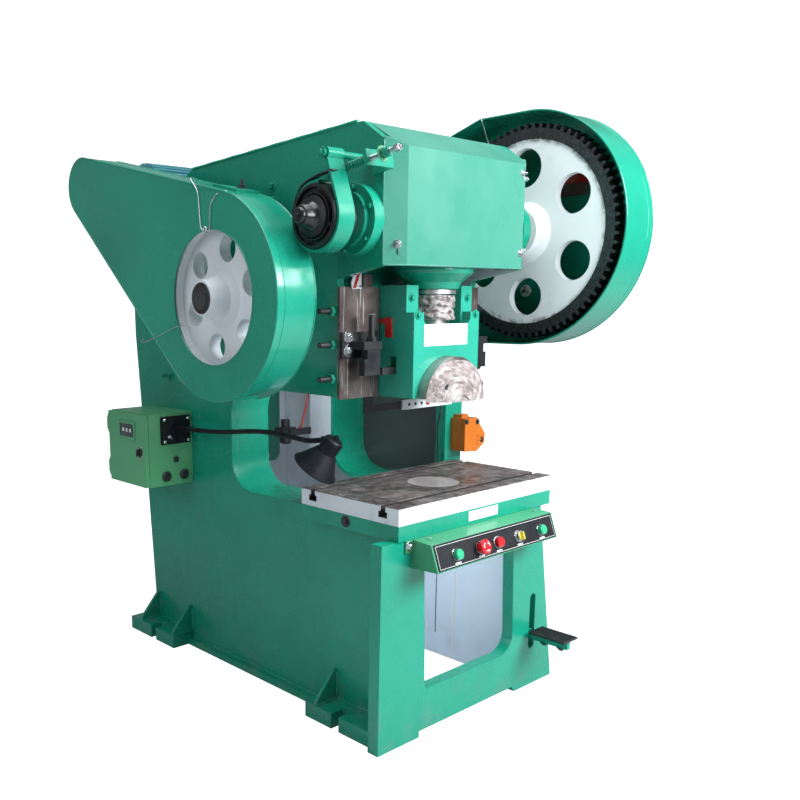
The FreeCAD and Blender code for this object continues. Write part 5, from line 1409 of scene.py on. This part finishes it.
@dataclass
class SlideDetails:
    """What is fixed to the slide: label plate, pointer, bolts and the crumpled films."""

    finishes: Finishes
    front: float = 0.160
    label: Extent = (-0.120, 0.106, 1.281, 1.353)
    frame_inset: float = 0.006
    frame_wide: float = 0.0016
    pointer_x: float = -0.170
    pointer_thick: float = 0.005
    neck_film_r: float = 0.070
    neck_film_z: Pair = (1.366, 1.447)
    clamp_front: float = 0.116
    clamp_z: float = 1.0985
    clamp_reach: float = 0.149
    hub_reach: float = 0.004

    def label_plate(self) -> None:
        """Builds the blank white plate with its thin dark frame."""
        x0, x1, z0, z1 = self.label
        y = self.front
        plate = Form().block((x0, y - 0.0015, z0), (x1, y, z1))
        plate.object("slide_blank_plate", self.finishes.plate, "white_paint", "slide", bevel=0.0004)
        inset, wide = self.frame_inset, self.frame_wide
        border = Form()
        for low, high in (((x0 + inset, z0 + inset), (x1 - inset, z0 + inset + wide)),
                          ((x0 + inset, z1 - inset - wide), (x1 - inset, z1 - inset)),
                          ((x0 + inset, z0 + inset), (x0 + inset + wide, z1 - inset)),
                          ((x1 - inset - wide, z0 + inset), (x1 - inset, z1 - inset))):
            border.block((low[0], y - 0.0019, low[1]), (high[0], y - 0.0014, high[1]))
        border.object("slide_plate_frame", self.finishes.black, "black_plastic", "slide")

    def pointer(self) -> None:
        """Builds the red pointer on the slide's left face."""
        outline = [(0.316, 1.366), (0.292, 1.374), (0.256, 1.375), (0.253, 1.309), (0.284, 1.310),
                   (0.285, 1.352), (0.303, 1.354)]
        form = Form().slab(outline, Axis.X, self.pointer_x - self.pointer_thick, self.pointer_x)
        form.object("stroke_pointer", self.finishes.red_paint, "red_plastic", "slide", bevel=0.0008)

    def bolts(self) -> None:
        """Builds the bolts on the slide's front and on its slanted shoulders."""
        form = Form()
        for side in SIDES:
            form.bolt((side * 0.150, self.front, 1.384), TO_FRONT, 0.015, 0.007)
            form.bolt((side * 0.145, 0.195, 1.440), TO_FRONT, 0.015, 0.008)
        form.object("slide_bolts", self.finishes.green, "green_paint", "slide")

    def neck_film(self, rng: np.random.Generator) -> None:
        """Builds the film round the screw's neck: a tube whose radius is creased."""
        y = CRANK_AXIS[0]
        rows, columns = 34, 96
        angle = np.linspace(0.0, 2 * math.pi, columns, endpoint=False)
        height = np.linspace(*self.neck_film_z, rows)
        r = self.neck_film_r + crumple(rng, rows, columns, 0.024)
        grid = np.stack([r * np.cos(angle)[None, :], y + r * np.sin(angle)[None, :],
                         np.repeat(height[:, None], columns, 1)], -1)
        neck = Form().sheet(grid, round_v=True)
        neck.object("neck_film", self.finishes.film, "bare_steel", "slide", smooth=70.0)

    def clamp_film(self, rng: np.random.Generator) -> None:
        """Builds the film over the shank clamp.

        It is a half disc round the clamp's middle whose front swells towards the middle by a quarter of a
        sine, with one more bulge at the middle itself, and is creased least on its rim.

        Args:
            rng: the random numbers, as the neck's film has left them.
        """
        rows, columns = 46, 120
        turn = np.linspace(math.radians(1), math.radians(179), columns)[None, :]
        inward = np.linspace(0.0, 1.0, rows)[:, None]
        reach = self.clamp_reach * (1.0 - inward) + self.hub_reach
        swell = 0.056 * np.sin(np.clip(inward * 1.7, 0.0, 1.0) * math.pi / 2) + 0.012 * np.exp(-reach / 0.03)
        creases = crumple(rng, rows, columns, 0.020) * np.clip(inward * 6.0, 0.15, 1.0)
        front = self.clamp_front - swell + creases
        squash = 0.93 + 0.05 * np.sin(3.0 * turn)
        grid = np.stack([reach * np.cos(turn), np.broadcast_to(front, (rows, columns)),
                         self.clamp_z + reach * np.sin(turn) * squash], -1)
        clamp = Form().sheet(grid)
        clamp.object("clamp_film", self.finishes.clamp_wrap, "bare_steel", "slide", smooth=60.0)

    def build(self) -> None:
        """Builds everything on the slide."""
        self.label_plate()
        self.pointer()
        self.bolts()
        rng = np.random.default_rng(7)
        self.neck_film(rng)
        self.clamp_film(rng)


def crumple(rng: np.random.Generator, rows: int, columns: int, size: float) -> np.ndarray:
    """Sharp creases for a crumpled sheet.

    Args:
        rng: the random numbers.
        rows: rows of the sheet.
        columns: columns of the sheet.
        size: height of the largest crease in metres.

    Returns:
        Heights of (rows, columns): the sum of folded waves, each the absolute value of a sine along a
        random direction, with half the height at twice the count.
    """
    u = np.linspace(0.0, 1.0, rows)[:, None]
    v = np.linspace(0.0, 1.0, columns, endpoint=False)[None, :]
    total = np.zeros((rows, columns))
    for octave in range(4):
        for _ in range(3):
            a = rng.integers(1, 3) * 2 ** octave
            b = rng.integers(1, 4) * 2 ** octave
            phase = rng.uniform(0, 2 * math.pi)
            total += np.abs(np.sin(math.pi * (a * u + b * v) + phase)) * 0.5 ** octave
    return size * (total / total.max() - 0.5)


@dataclass
class GuideDetails:
    """Bolts, screws and caps beside the slide, the plates over the gibs and the sign bar's fittings."""

    finishes: Finishes
    bracket_bolt: Pair = (0.331, 0.301)
    bracket_z: Pair = (1.315, 1.270)
    gib_screw: Pair = (0.4205, 0.345)
    gib_screw_z: tuple[float, float, float] = (1.177, 1.288, 1.397)
    cap: Point = (0.262, 0.262, 1.385)
    sign_face: float = 0.393
    reflector: Pair = (0.180, 1.056)
    sign_screws: tuple[float, ...] = (0.075, 0.110, 0.145, 0.220, 0.255, 0.290)
    sign_screw_z: float = 1.054
    pale_y: Pair = (0.3085, 0.3125)

    def guide_bolts(self) -> None:
        """Builds the stop brackets' bolts, the gib screws' heads and the stop screws' caps."""
        bolts, heads, caps = Form(), Form(), Form()
        for side in SIDES:
            x, y = self.bracket_bolt
            for z in self.bracket_z:
                bolts.bolt((side * x, y, z), TO_FRONT, 0.021, 0.010, 0.006)
            x, y = self.gib_screw
            for z in self.gib_screw_z:
                heads.turned([(0, -0.001), (0.0055, -0.001), (0.0055, 0.004), (0, 0.004)], (side * x, y, z),
                             (side, 0, 0), 6)
            x, y, z = self.cap
            caps.ring((side * x, y, z), UP, 0.0112, 0.005, -0.0005, 0.003, 24)
        bolts.object("stop_bracket_bolts", self.finishes.zinc, "bare_steel")
        heads.object("gib_screw_heads", self.finishes.dark_steel, "dark_steel")
        caps.object("stop_screw_caps", self.finishes.zinc, "bare_steel")

    def gauge(self) -> None:
        """Builds the pale plate with its red stripe over the left gib, and the gibs' steel end pieces."""
        front, back = self.pale_y
        plate = Form().slab([(1.529, -0.283), (1.522, -0.264), (1.468, -0.264), (1.468, -0.306),
                             (1.490, -0.311), (1.512, -0.300)], Axis.Y, front, back)
        plate.object("gib_pale_plate", self.finishes.plate, "white_paint", bevel=0.0005)
        stripe = Form().slab([(1.5245, -0.281), (1.5225, -0.269), (1.470, -0.292), (1.472, -0.304)], Axis.Y,
                             front - 0.0005, front + 0.0002)
        stripe.object("gib_plate_stripe", self.finishes.red_paint, "red_plastic")
        pieces = Form()
        for x in (-0.288, -0.271):
            pieces.turned([(0, -0.001), (0.0045, -0.001), (0.004, 0.002), (0, 0.003)], (x, front, 1.477),
                          TO_FRONT, 16)
        for side in SIDES:
            pieces.block((side * 0.250, 0.313, 1.4752), (side * 0.206, 0.3248, 1.5155))
        pieces.object("gib_end_pieces", self.finishes.gib_steel, "bare_steel", bevel=0.0006)

    def sign_fittings(self) -> None:
        """Builds the sign bar's round reflector and its screws."""
        x, z = self.reflector
        sign = Form().turned([(0, -0.001), (0.011, -0.001), (0.012, 0.001), (0.010, 0.004), (0, 0.005)],
                             (x, self.sign_face, z), TO_FRONT, 24)
        sign.object("sign_bar_reflector", self.finishes.red, "red_plastic")
        screws = Form()
        for x in self.sign_screws:
            screws.turned([(0, -0.001), (0.006, -0.001), (0.006, 0.001), (0, 0.0012)],
                          (x, self.sign_face, self.sign_screw_z), TO_FRONT, 12)
        screws.object("sign_bar_screws", self.finishes.black, "black_plastic")

    def build(self) -> None:
        """Builds everything round the guides."""
        self.guide_bolts()
        self.gauge()
        self.sign_fittings()


@dataclass
class ControlStation:
    """Bezels, name strips, the frame line, the stop's arrows and the screws of the control panel.

    A place on the panel is given by x, by its share of the way up and by how far out it stands.
    """

    finishes: Finishes
    top: Pair = (-0.080, 0.690)
    bottom: Pair = (-0.110, 0.606)
    share: float = 0.46
    panel_t: float = 0.0025
    places: tuple[float, ...] = (-0.240, -0.120, -0.026, 0.089, 0.218)
    half_span: Pair = (-0.335, 0.300)
    margin: float = 0.006
    line: float = 0.0012
    frame_low: Pair = (0.09, 0.105)
    frame_high: Pair = (0.90, 0.915)
    name_half: float = 0.014
    name_shares: Pair = (0.125, 0.185)
    bezel: Pair = (0.0212, 0.0176)
    arrow_r: float = 0.014
    arrow_half: float = 0.0015
    arrow_head: float = 0.35

    def at(self, x: float, share: float, out: float) -> Point:
        """A point on the panel, share of the way up it and this far out."""
        up = Vector((0.0, self.top[0] - self.bottom[0], self.top[1] - self.bottom[1]))
        return tuple(Vector((x, *self.bottom)) + up * share + self.normal() * out)

    def normal(self) -> Vector:
        """The direction out of the panel."""
        lean = math.atan2(self.top[0] - self.bottom[0], self.top[1] - self.bottom[1])
        return Vector((0.0, -math.cos(lean), math.sin(lean)))

    def strip(self, form: Form, x0: float, x1: float, shares: Pair, out: float) -> None:
        """Adds a thin plate on the panel between two x and two shares, out above its face."""
        base, top = self.panel_t - 0.0002, self.panel_t + out
        points = [self.at(x, s, o) for x in (x0, x1) for s in shares for o in (base, top)]
        form.add(np.array(points), BLOCK_FACES)

    def lines(self) -> None:
        """Builds the white frame line and the blank strip under each button."""
        form = Form()
        x0, x1 = self.half_span[0] + self.margin, self.half_span[1] - self.margin
        sides = (self.frame_low[0], self.frame_high[1])
        for a, b, shares in ((x0, x1, self.frame_high), (x0, x1, self.frame_low),
                             (x0, x0 + self.line, sides), (x1 - self.line, x1, sides)):
            self.strip(form, a, b, shares, 0.0003)
        for x in self.places:
            self.strip(form, x - self.name_half, x + self.name_half, self.name_shares, 0.0004)
        form.object("panel_lines", self.finishes.plate, "white_paint")

    def bezels(self) -> None:
        """Builds the bright ring round each button and the one on the selector."""
        way = tuple(self.normal())
        form = Form()
        for x in self.places:
            form.ring(self.at(x, self.share, self.panel_t), way, *self.bezel, -0.001, 0.003)
        form.object("panel_bezels", self.finishes.zinc, "bare_steel", bevel=0.0006)
        grip = Form().ring(self.at(self.places[3], self.share, self.panel_t + 0.0145), way, 0.0178, 0.0145,
                           -0.010, 0.0012)
        grip.object("selector_ring", self.finishes.zinc, "black_plastic", "mode_selector", bevel=0.0006)

    def arrows(self) -> None:
        """Builds the three white turn arrows on the emergency stop's head.

        Each is an arc of 70 degrees of one width, whose last part is a head that narrows to a point.
        """
        normal = self.normal()
        centre = np.array(self.at(self.places[1], self.share, self.panel_t + 0.0302))
        across = np.array([1.0, 0.0, 0.0])
        up = np.array(normal.cross(Vector(across)).normalized())
        out = np.array(normal) * 0.0004
        form = Form()
        for k in range(3):
            turn = math.radians(120 * k) + np.linspace(0.0, math.radians(70), 12)[:, None]
            left = turn[-1] - turn
            width = np.where(left < self.arrow_head, 2.6 * left / self.arrow_head, 1.0) * self.arrow_half
            rim = np.stack([self.arrow_r - width[:, 0], self.arrow_r + width[:, 0]], 1)
            way = np.cos(turn)[..., None] * across + np.sin(turn)[..., None] * up
            flat = centre + rim[..., None] * way
            form.sheet(np.stack([flat[:, 0] + out, flat[:, 1] + out, flat[:, 1] - out, flat[:, 0] - out], 1),
                       round_v=True, capped=True)
        form.object("stop_arrows", self.finishes.plate, "white_paint", "emergency_stop_button")

    def screws(self) -> None:
        """Builds the bolt at the control box's left ear and the screws on its top."""
        form = Form().bolt((-0.359, -0.006, 0.675), TO_FRONT, 0.016, 0.008)
        for x in (-0.300, 0.265):
            form.socket_screw((x, -0.040, 0.6985), UP, 0.006, 0.002)
        form.object("control_box_screws", self.finishes.zinc, "bare_steel")

    def build(self) -> None:
        """Builds the panel's details."""
        self.lines()
        self.bezels()
        self.arrows()
        self.screws()


@dataclass
class CabinetDetails:
    """The cabinet's meter window, lock ring and grommets, and the lamp base's screws and toggle."""

    finishes: Finishes
    door_face: float = -0.578
    front: float = 1.176
    base_front: float = 1.162
    window: Extent = (1.254, 1.356, 0.901, 0.953)
    figure_pitch: float = 0.026
    figure_wide: float = 0.011
    lock: Point = (-0.577, 1.213, 0.846)
    lock_stretch: float = 1.45
    grommets: Pair = (-0.485, -0.402)
    base_x: Pair = (-0.495, -0.385)
    base_z: Pair = (0.885, 0.973)

    def meter(self) -> None:
        """Builds the meter's dark window with three pale figures."""
        y0, y1, z0, z1 = self.window
        face = self.door_face
        glass = Form().block((face - 0.0030, y0, z0), (face - 0.0012, y1, z1))
        glass.object("meter_window", self.finishes.smoke, "black_plastic", "cabinet_door", bevel=0.0005)
        figures = Form()
        for k in range(3):
            y = y0 + 0.020 + self.figure_pitch * k
            figures.block((face - 0.0036, y, z0 + 0.019), (face - 0.0029, y + self.figure_wide, z1 - 0.019))
        figures.object("meter_figures", self.finishes.plate, "white_paint", "cabinet_door", bevel=0.0003)

    def lock_ring(self) -> None:
        """Builds the oval ring round the lock: a round one stretched upwards about its middle."""
        middle = Matrix.Translation((0, 0, self.lock[2]))
        ring = Form().ring(self.lock, TO_LEFT, 0.020, 0.0155, 0.0008, 0.0035)
        ring.moved(middle @ Matrix.Diagonal((1, 1, self.lock_stretch, 1)) @ middle.inverted())
        ring.object("lock_ring", self.finishes.zinc, "bare_steel", "cabinet_door")

    def fittings(self) -> None:
        """Builds the grommets and the plug on the cabinet's front."""
        form = Form()
        profile = [(0.0135, 0.004), (0.0195, 0.001), (0.021, -0.006), (0.0185, -0.010), (0.012, -0.011),
                   (0.009, -0.006), (0.0, -0.006)]
        for x in self.grommets:
            form.turned(profile, (x, self.front, 0.744), TO_BACK, 28)
        form.turned([(0, 0.001), (0.012, 0.0), (0.012, -0.006), (0.008, -0.010), (0, -0.011)],
                    (-0.438, self.front, 0.808), TO_BACK, 24)
        form.object("cabinet_grommets", self.finishes.black, "black_plastic")

    def lamp_base(self) -> None:
        """Builds the four screws and the toggle on the lamp's base."""
        screws = Form()
        for x in self.base_x:
            for z in self.base_z:
                screws.turned([(0, 0), (0.007, 0), (0.007, 0.0025), (0.004, 0.0045), (0, 0.005)],
                              (x, self.base_front, z), TO_FRONT, 18)
        screws.object("lamp_base_screws", self.finishes.zinc, "bare_steel")
        toggle = Form().turned([(0, 0.001), (0.007, 0.0), (0.007, -0.005), (0.0035, -0.007), (0.003, -0.022),
                                (0, -0.023)], (-0.475, self.base_front, 0.905), (0, 1, 0.25), 18)
        toggle.object("lamp_toggle", self.finishes.zinc, "bare_steel")

    def build(self) -> None:
        """Builds the cabinet's details."""
        self.meter()
        self.lock_ring()
        self.fittings()
        self.lamp_base()


@dataclass
class LampDetails:
    """The lamp's bulb, the peg on its back, and the ribs and rim of its shade.

    Distances are along the lamp's aim from the middle of the shade's closed end.
    """

    finishes: Finishes
    top: Point = (-0.38878, 0.29963, 0.98258)
    aim: Point = (-0.2777, 0.5229, -0.8229)
    ribs: tuple[float, ...] = (0.012, 0.020, 0.028, 0.036, 0.044)
    rib_half: float = 0.0015

    def build(self) -> None:
        """Builds the lamp's details."""
        rings = Form()
        for along in self.ribs:
            rings.ring(self.top, self.aim, 0.0345, 0.0325, along - self.rib_half, along + self.rib_half)
        rings.ring(self.top, self.aim, 0.0805, 0.0755, 0.1215, 0.1255, 64)
        rings.turned([(0, -0.014), (0.008, -0.014), (0.009, -0.010), (0.009, 0.001), (0, 0.001)], self.top,
                     self.aim, 20)
        rings.object("lamp_shade_ribs", self.finishes.lamp, "black_plastic", "lamp_head")
        profile = [(0, 0.008), (0.014, 0.008), (0.014, 0.046), (0.017, 0.056), (0.026, 0.074),
                   (0.030, 0.092), (0.026, 0.108), (0.014, 0.118), (0, 0.121)]
        bulb = Form().turned(profile, self.top, self.aim, 32)
        bulb.object("lamp_bulb", self.finishes.plate, "white_paint", "lamp_head")


@dataclass
class PedalAndSwitch:
    """Ribs of the pedal's tread and the details of the foot switch."""

    finishes: Finishes
    tread: Extent = (0.298, 0.388, -0.168, -0.018)
    tread_z: float = 0.226
    tread_ribs: int = 11
    tread_rib_r: float = 0.0022
    pedal_bolt: Pair = (0.343, 0.186)
    switch_face: float = 0.380
    switch_rib_x: Pair = (0.470, 0.512)

    def pedal(self) -> None:
        """Builds the tread's ribs, evenly spaced across it, and the bolts below."""
        x0, x1, y0, y1 = self.tread
        ribs = Form()
        for k in range(self.tread_ribs):
            x = x0 + 0.006 + (x1 - x0 - 0.012) * k / (self.tread_ribs - 1)
            ribs.tube([(x, y0 + 0.004, self.tread_z), (x, y1 - 0.004, self.tread_z)], self.tread_rib_r, 6)
        ribs.object("tread_ribs", self.finishes.rubber, "black_rubber", "foot_pedal")
        bolts = Form()
        for y in (-0.130, -0.060):
            bolts.bolt((self.pedal_bolt[0], y, self.pedal_bolt[1]), DOWN, 0.017, 0.008)
        bolts.object("pedal_bolts", self.finishes.dark_steel, "dark_steel", "foot_pedal")

    def switch(self) -> None:
        """Builds the foot switch's bolts and ribs."""
        bolts = Form()
        for x, z in ((0.470, 0.955), (0.500, 0.880), (0.402, 0.960)):
            bolts.bolt((x, self.switch_face, z), TO_FRONT, 0.011, 0.005)
        bolts.object("foot_switch_bolts", self.finishes.dark_steel, "dark_steel")
        ribs = Form()
        x0, x1 = self.switch_rib_x
        for z in (0.862, 0.878, 0.894):
            ribs.block((x0, self.switch_face - 0.0025, z), (x1, self.switch_face + 0.0005, z + 0.006))
        ribs.object("foot_switch_ribs", self.finishes.orange, "orange_paint", bevel=0.0008)

    def build(self) -> None:
        """Builds the pedal's and the switch's details."""
        self.pedal()
        self.switch()


@dataclass
class Lines:
    """The air hose and the sign bar's cable, which the object holds at both ends."""

    finishes: Finishes
    hose_r: float = 0.005
    cable_r: float = 0.0035
    hose: tuple[Point, ...] = (
        (0.108, 1.090, 0.876), (0.130, 1.090, 0.876), (0.150, 1.090, 0.886), (0.162, 1.090, 0.908),
        (0.170, 1.089, 0.932), (0.177, 1.087, 0.960), (0.184, 1.085, 0.992), (0.190, 1.083, 1.026),
        (0.190, 1.083, 1.058))
    cable: tuple[Point, ...] = (
        (0.262, 0.397, 1.036), (0.262, 0.397, 1.010), (0.266, 0.407, 0.984), (0.278, 0.424, 0.957),
        (0.296, 0.440, 0.930), (0.314, 0.453, 0.898), (0.328, 0.463, 0.862), (0.338, 0.469, 0.826),
        (0.343, 0.472, 0.791), (0.344, 0.473, 0.757), (0.344, 0.473, 0.725))

    def curve(self, name: str, points: Sequence[Point], radius: float,
              finish: Material) -> bpy.types.Object:
        """Makes one smooth cord.

        Args:
            name: the piece's name.
            points: its control points.
            radius: its radius.
            finish: its material.

        Returns:
            The curve's object.
        """
        data = bpy.data.curves.new(name, "CURVE")
        data.dimensions = "3D"
        spline = data.splines.new("NURBS")
        spline.points.add(len(points) - 1)
        for point, (x, y, z) in zip(spline.points, points):
            point.co = (x, y - ORIGIN_Y, z, 1.0)
        spline.order_u = 3
        spline.use_endpoint_u = True
        spline.resolution_u = 12
        data.bevel_depth = radius
        data.bevel_resolution = 4
        data.use_fill_caps = True
        data.materials.append(finish)
        piece = put_in_scene(name, data)
        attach(piece, "frame")
        LOG.info("%s: a cord of %d points on frame", name, len(points))
        return piece

    def start(self, points: Sequence[Point]) -> Point:
        """Where a cord leaves the object, from the origin."""
        x, y, z = points[0]
        return (x, y - ORIGIN_Y, z)

    def build(self) -> None:
        hose = self.curve("air_hose", self.hose, self.hose_r, self.finishes.hose)
        cable = self.curve("sign_cable", self.cable, self.cable_r, self.finishes.rubber)
        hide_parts("hose_and_cable")
        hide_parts("hose_and_cable")


# ---- the studio
@dataclass
class Studio:
    """Floor, backdrop, lamps and the camera at the photograph's place."""

    camera_at: Point = (-2.389, -1.804, 1.433)
    yaw: float = 0.729
    pitch: float = -0.198
    roll: float = -0.003
    lens: float = 40.1
    sensor: float = 36.0
    shift: Pair = (0.115, 0.0985)
    view_end: float = 60.0
    floor_steps: int = 96
    floor_radii: tuple[float, ...] = (0.0, 4.0, 7.5, 8.6, 9.2, 9.4)
    floor_rises: tuple[float, ...] = (-0.0005, -0.0005, -0.0005, 0.3, 1.2, 7.0)
    lamp_colour: Colour = (0.90, 0.97, 1.0)
    world_colour: Colour = (0.92, 0.95, 1.0)
    world_strength: float = 0.27

    def camera(self) -> None:
        """Places the camera."""
        data = bpy.data.cameras.new("photo_camera")
        data.lens = self.lens
        data.sensor_width = self.sensor
        data.shift_x, data.shift_y = self.shift
        data.clip_end = self.view_end
        camera = put_in_scene("photo_camera", data)
        ahead = Vector((math.sin(self.yaw) * math.cos(self.pitch), math.cos(self.yaw) * math.cos(self.pitch),
                        math.sin(self.pitch)))
        turn = ahead.to_track_quat("-Z", "Y").to_matrix().to_4x4() @ Matrix.Rotation(self.roll, 4, "Z")
        place = Vector(self.camera_at) - Vector((0.0, ORIGIN_Y, 0.0))
        camera.matrix_world = Matrix.Translation(place) @ turn
        bpy.context.scene.camera = camera

    def floor(self) -> None:
        """Builds the floor and the backdrop in one sweep, all round the press."""
        angle = np.linspace(0.0, 2 * math.pi, self.floor_steps, endpoint=False)
        radii, rises = np.array(self.floor_radii), np.array(self.floor_rises)
        grid = np.stack([radii[:, None] * np.cos(angle), radii[:, None] * np.sin(angle),
                         np.repeat(rises[:, None], self.floor_steps, 1)], -1)
        mesh = bpy.data.meshes.new("studio_floor")
        form = Form().sheet(grid, round_v=True)
        mesh.from_pydata(np.concatenate(form.points).tolist(), [], form.faces)
        mesh.validate()
        mesh.polygons.foreach_set("use_smooth", [True] * len(mesh.polygons))
        mesh.materials.append(Glow("studio_white", (0.52, 0.53, 0.54), 1.0).build())
        floor = put_in_scene("studio_floor", mesh)

    def lamp(self, name: str, place: Point, target: Point, size: float, power: float) -> None:
        """Adds one soft lamp.

        Args:
            name: its name.
            place: where it hangs.
            target: what it faces.
            size: its side in metres.
            power: its power in watts.
        """
        data = bpy.data.lights.new(name, "AREA")
        data.shape = "SQUARE"
        data.size = size
        data.energy = power
        data.color = self.lamp_colour
        lamp = put_in_scene(name, data)
        lamp.location = (place[0], place[1] - ORIGIN_Y, place[2])
        lamp.visible_camera = False
        lamp.rotation_euler = (Vector(target) - Vector(place)).to_track_quat("-Z", "Y").to_euler()

    def lamps(self) -> None:
        """Adds the lamps round the press and the two small ones inside it."""
        self.lamp("key_front_right", (1.6, -3.6, 3.4), (0.0, 0.3, 1.1), 2.2, 390.0)
        self.lamp("gear_fill", (-0.2, -1.9, 1.9), (0.5, 0.1, 1.6), 0.8, 30.0)
        self.lamp("base_fill", (-0.20, 0.25, 0.52), (0.35, 0.62, 0.35), 0.3, 1.5)
        self.lamp("throat_fill", (-0.15, 0.62, 1.10), (0.15, 1.25, 0.95), 0.25, 1.8)
        self.lamp("top_soft", (-0.4, 0.2, 4.6), (0.0, 0.5, 1.0), 3.0, 120.0)
        self.lamp("left_fill", (-4.2, 0.8, 2.6), (-0.2, 0.7, 1.1), 2.4, 35.0)

    def world(self) -> None:
        """Makes the world: white where the camera sees it, and a soft even light otherwise."""
        world = bpy.data.worlds.new("studio_world")
        world.use_nodes = True
        nodes, links = world.node_tree.nodes, world.node_tree.links
        soft = nodes["Background"]
        soft.inputs["Color"].default_value = (*self.world_colour, 1.0)
        soft.inputs["Strength"].default_value = self.world_strength
        white = nodes.new("ShaderNodeBackground")
        white.inputs["Color"].default_value = (1.0, 1.0, 1.0, 1.0)
        path, mix = nodes.new("ShaderNodeLightPath"), nodes.new("ShaderNodeMixShader")
        links.new(path.outputs["Is Camera Ray"], mix.inputs[0])
        links.new(soft.outputs[0], mix.inputs[1])
        links.new(white.outputs[0], mix.inputs[2])
        links.new(mix.outputs[0], nodes["World Output"].inputs["Surface"])
        bpy.context.scene.world = world

    def build(self) -> None:
        """Builds the whole studio."""
        self.camera()
        self.floor()
        self.lamps()
        self.world()


def clear_default_scene() -> None:
    """Removes the objects that Blender starts with."""
    for name in ("Cube", "Light", "Camera"):
        thing = bpy.data.objects.get(name)
        if thing is not None:
            bpy.data.objects.remove(thing, do_unlink=True)


def main() -> None:
    """Builds the press from the frame and the studio round it."""
    logging.basicConfig(level=logging.INFO, format="%(name)s: %(message)s")
    clear_default_scene()
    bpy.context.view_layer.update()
    bpy.context.scene.view_settings.view_transform = "Standard"
    finishes = Finishes()
    CadFinishes(finishes).dress()
    for part in (WeldedFrame, HeadCover, BrakeDetails, BeltGuard, GearGuard, DriveWheels, SlideDetails,
                 GuideDetails, ControlStation, CabinetDetails, LampDetails, PedalAndSwitch, Lines):
        part(finishes).build()
    Studio().build()


if __name__ == "__main__":
    main()
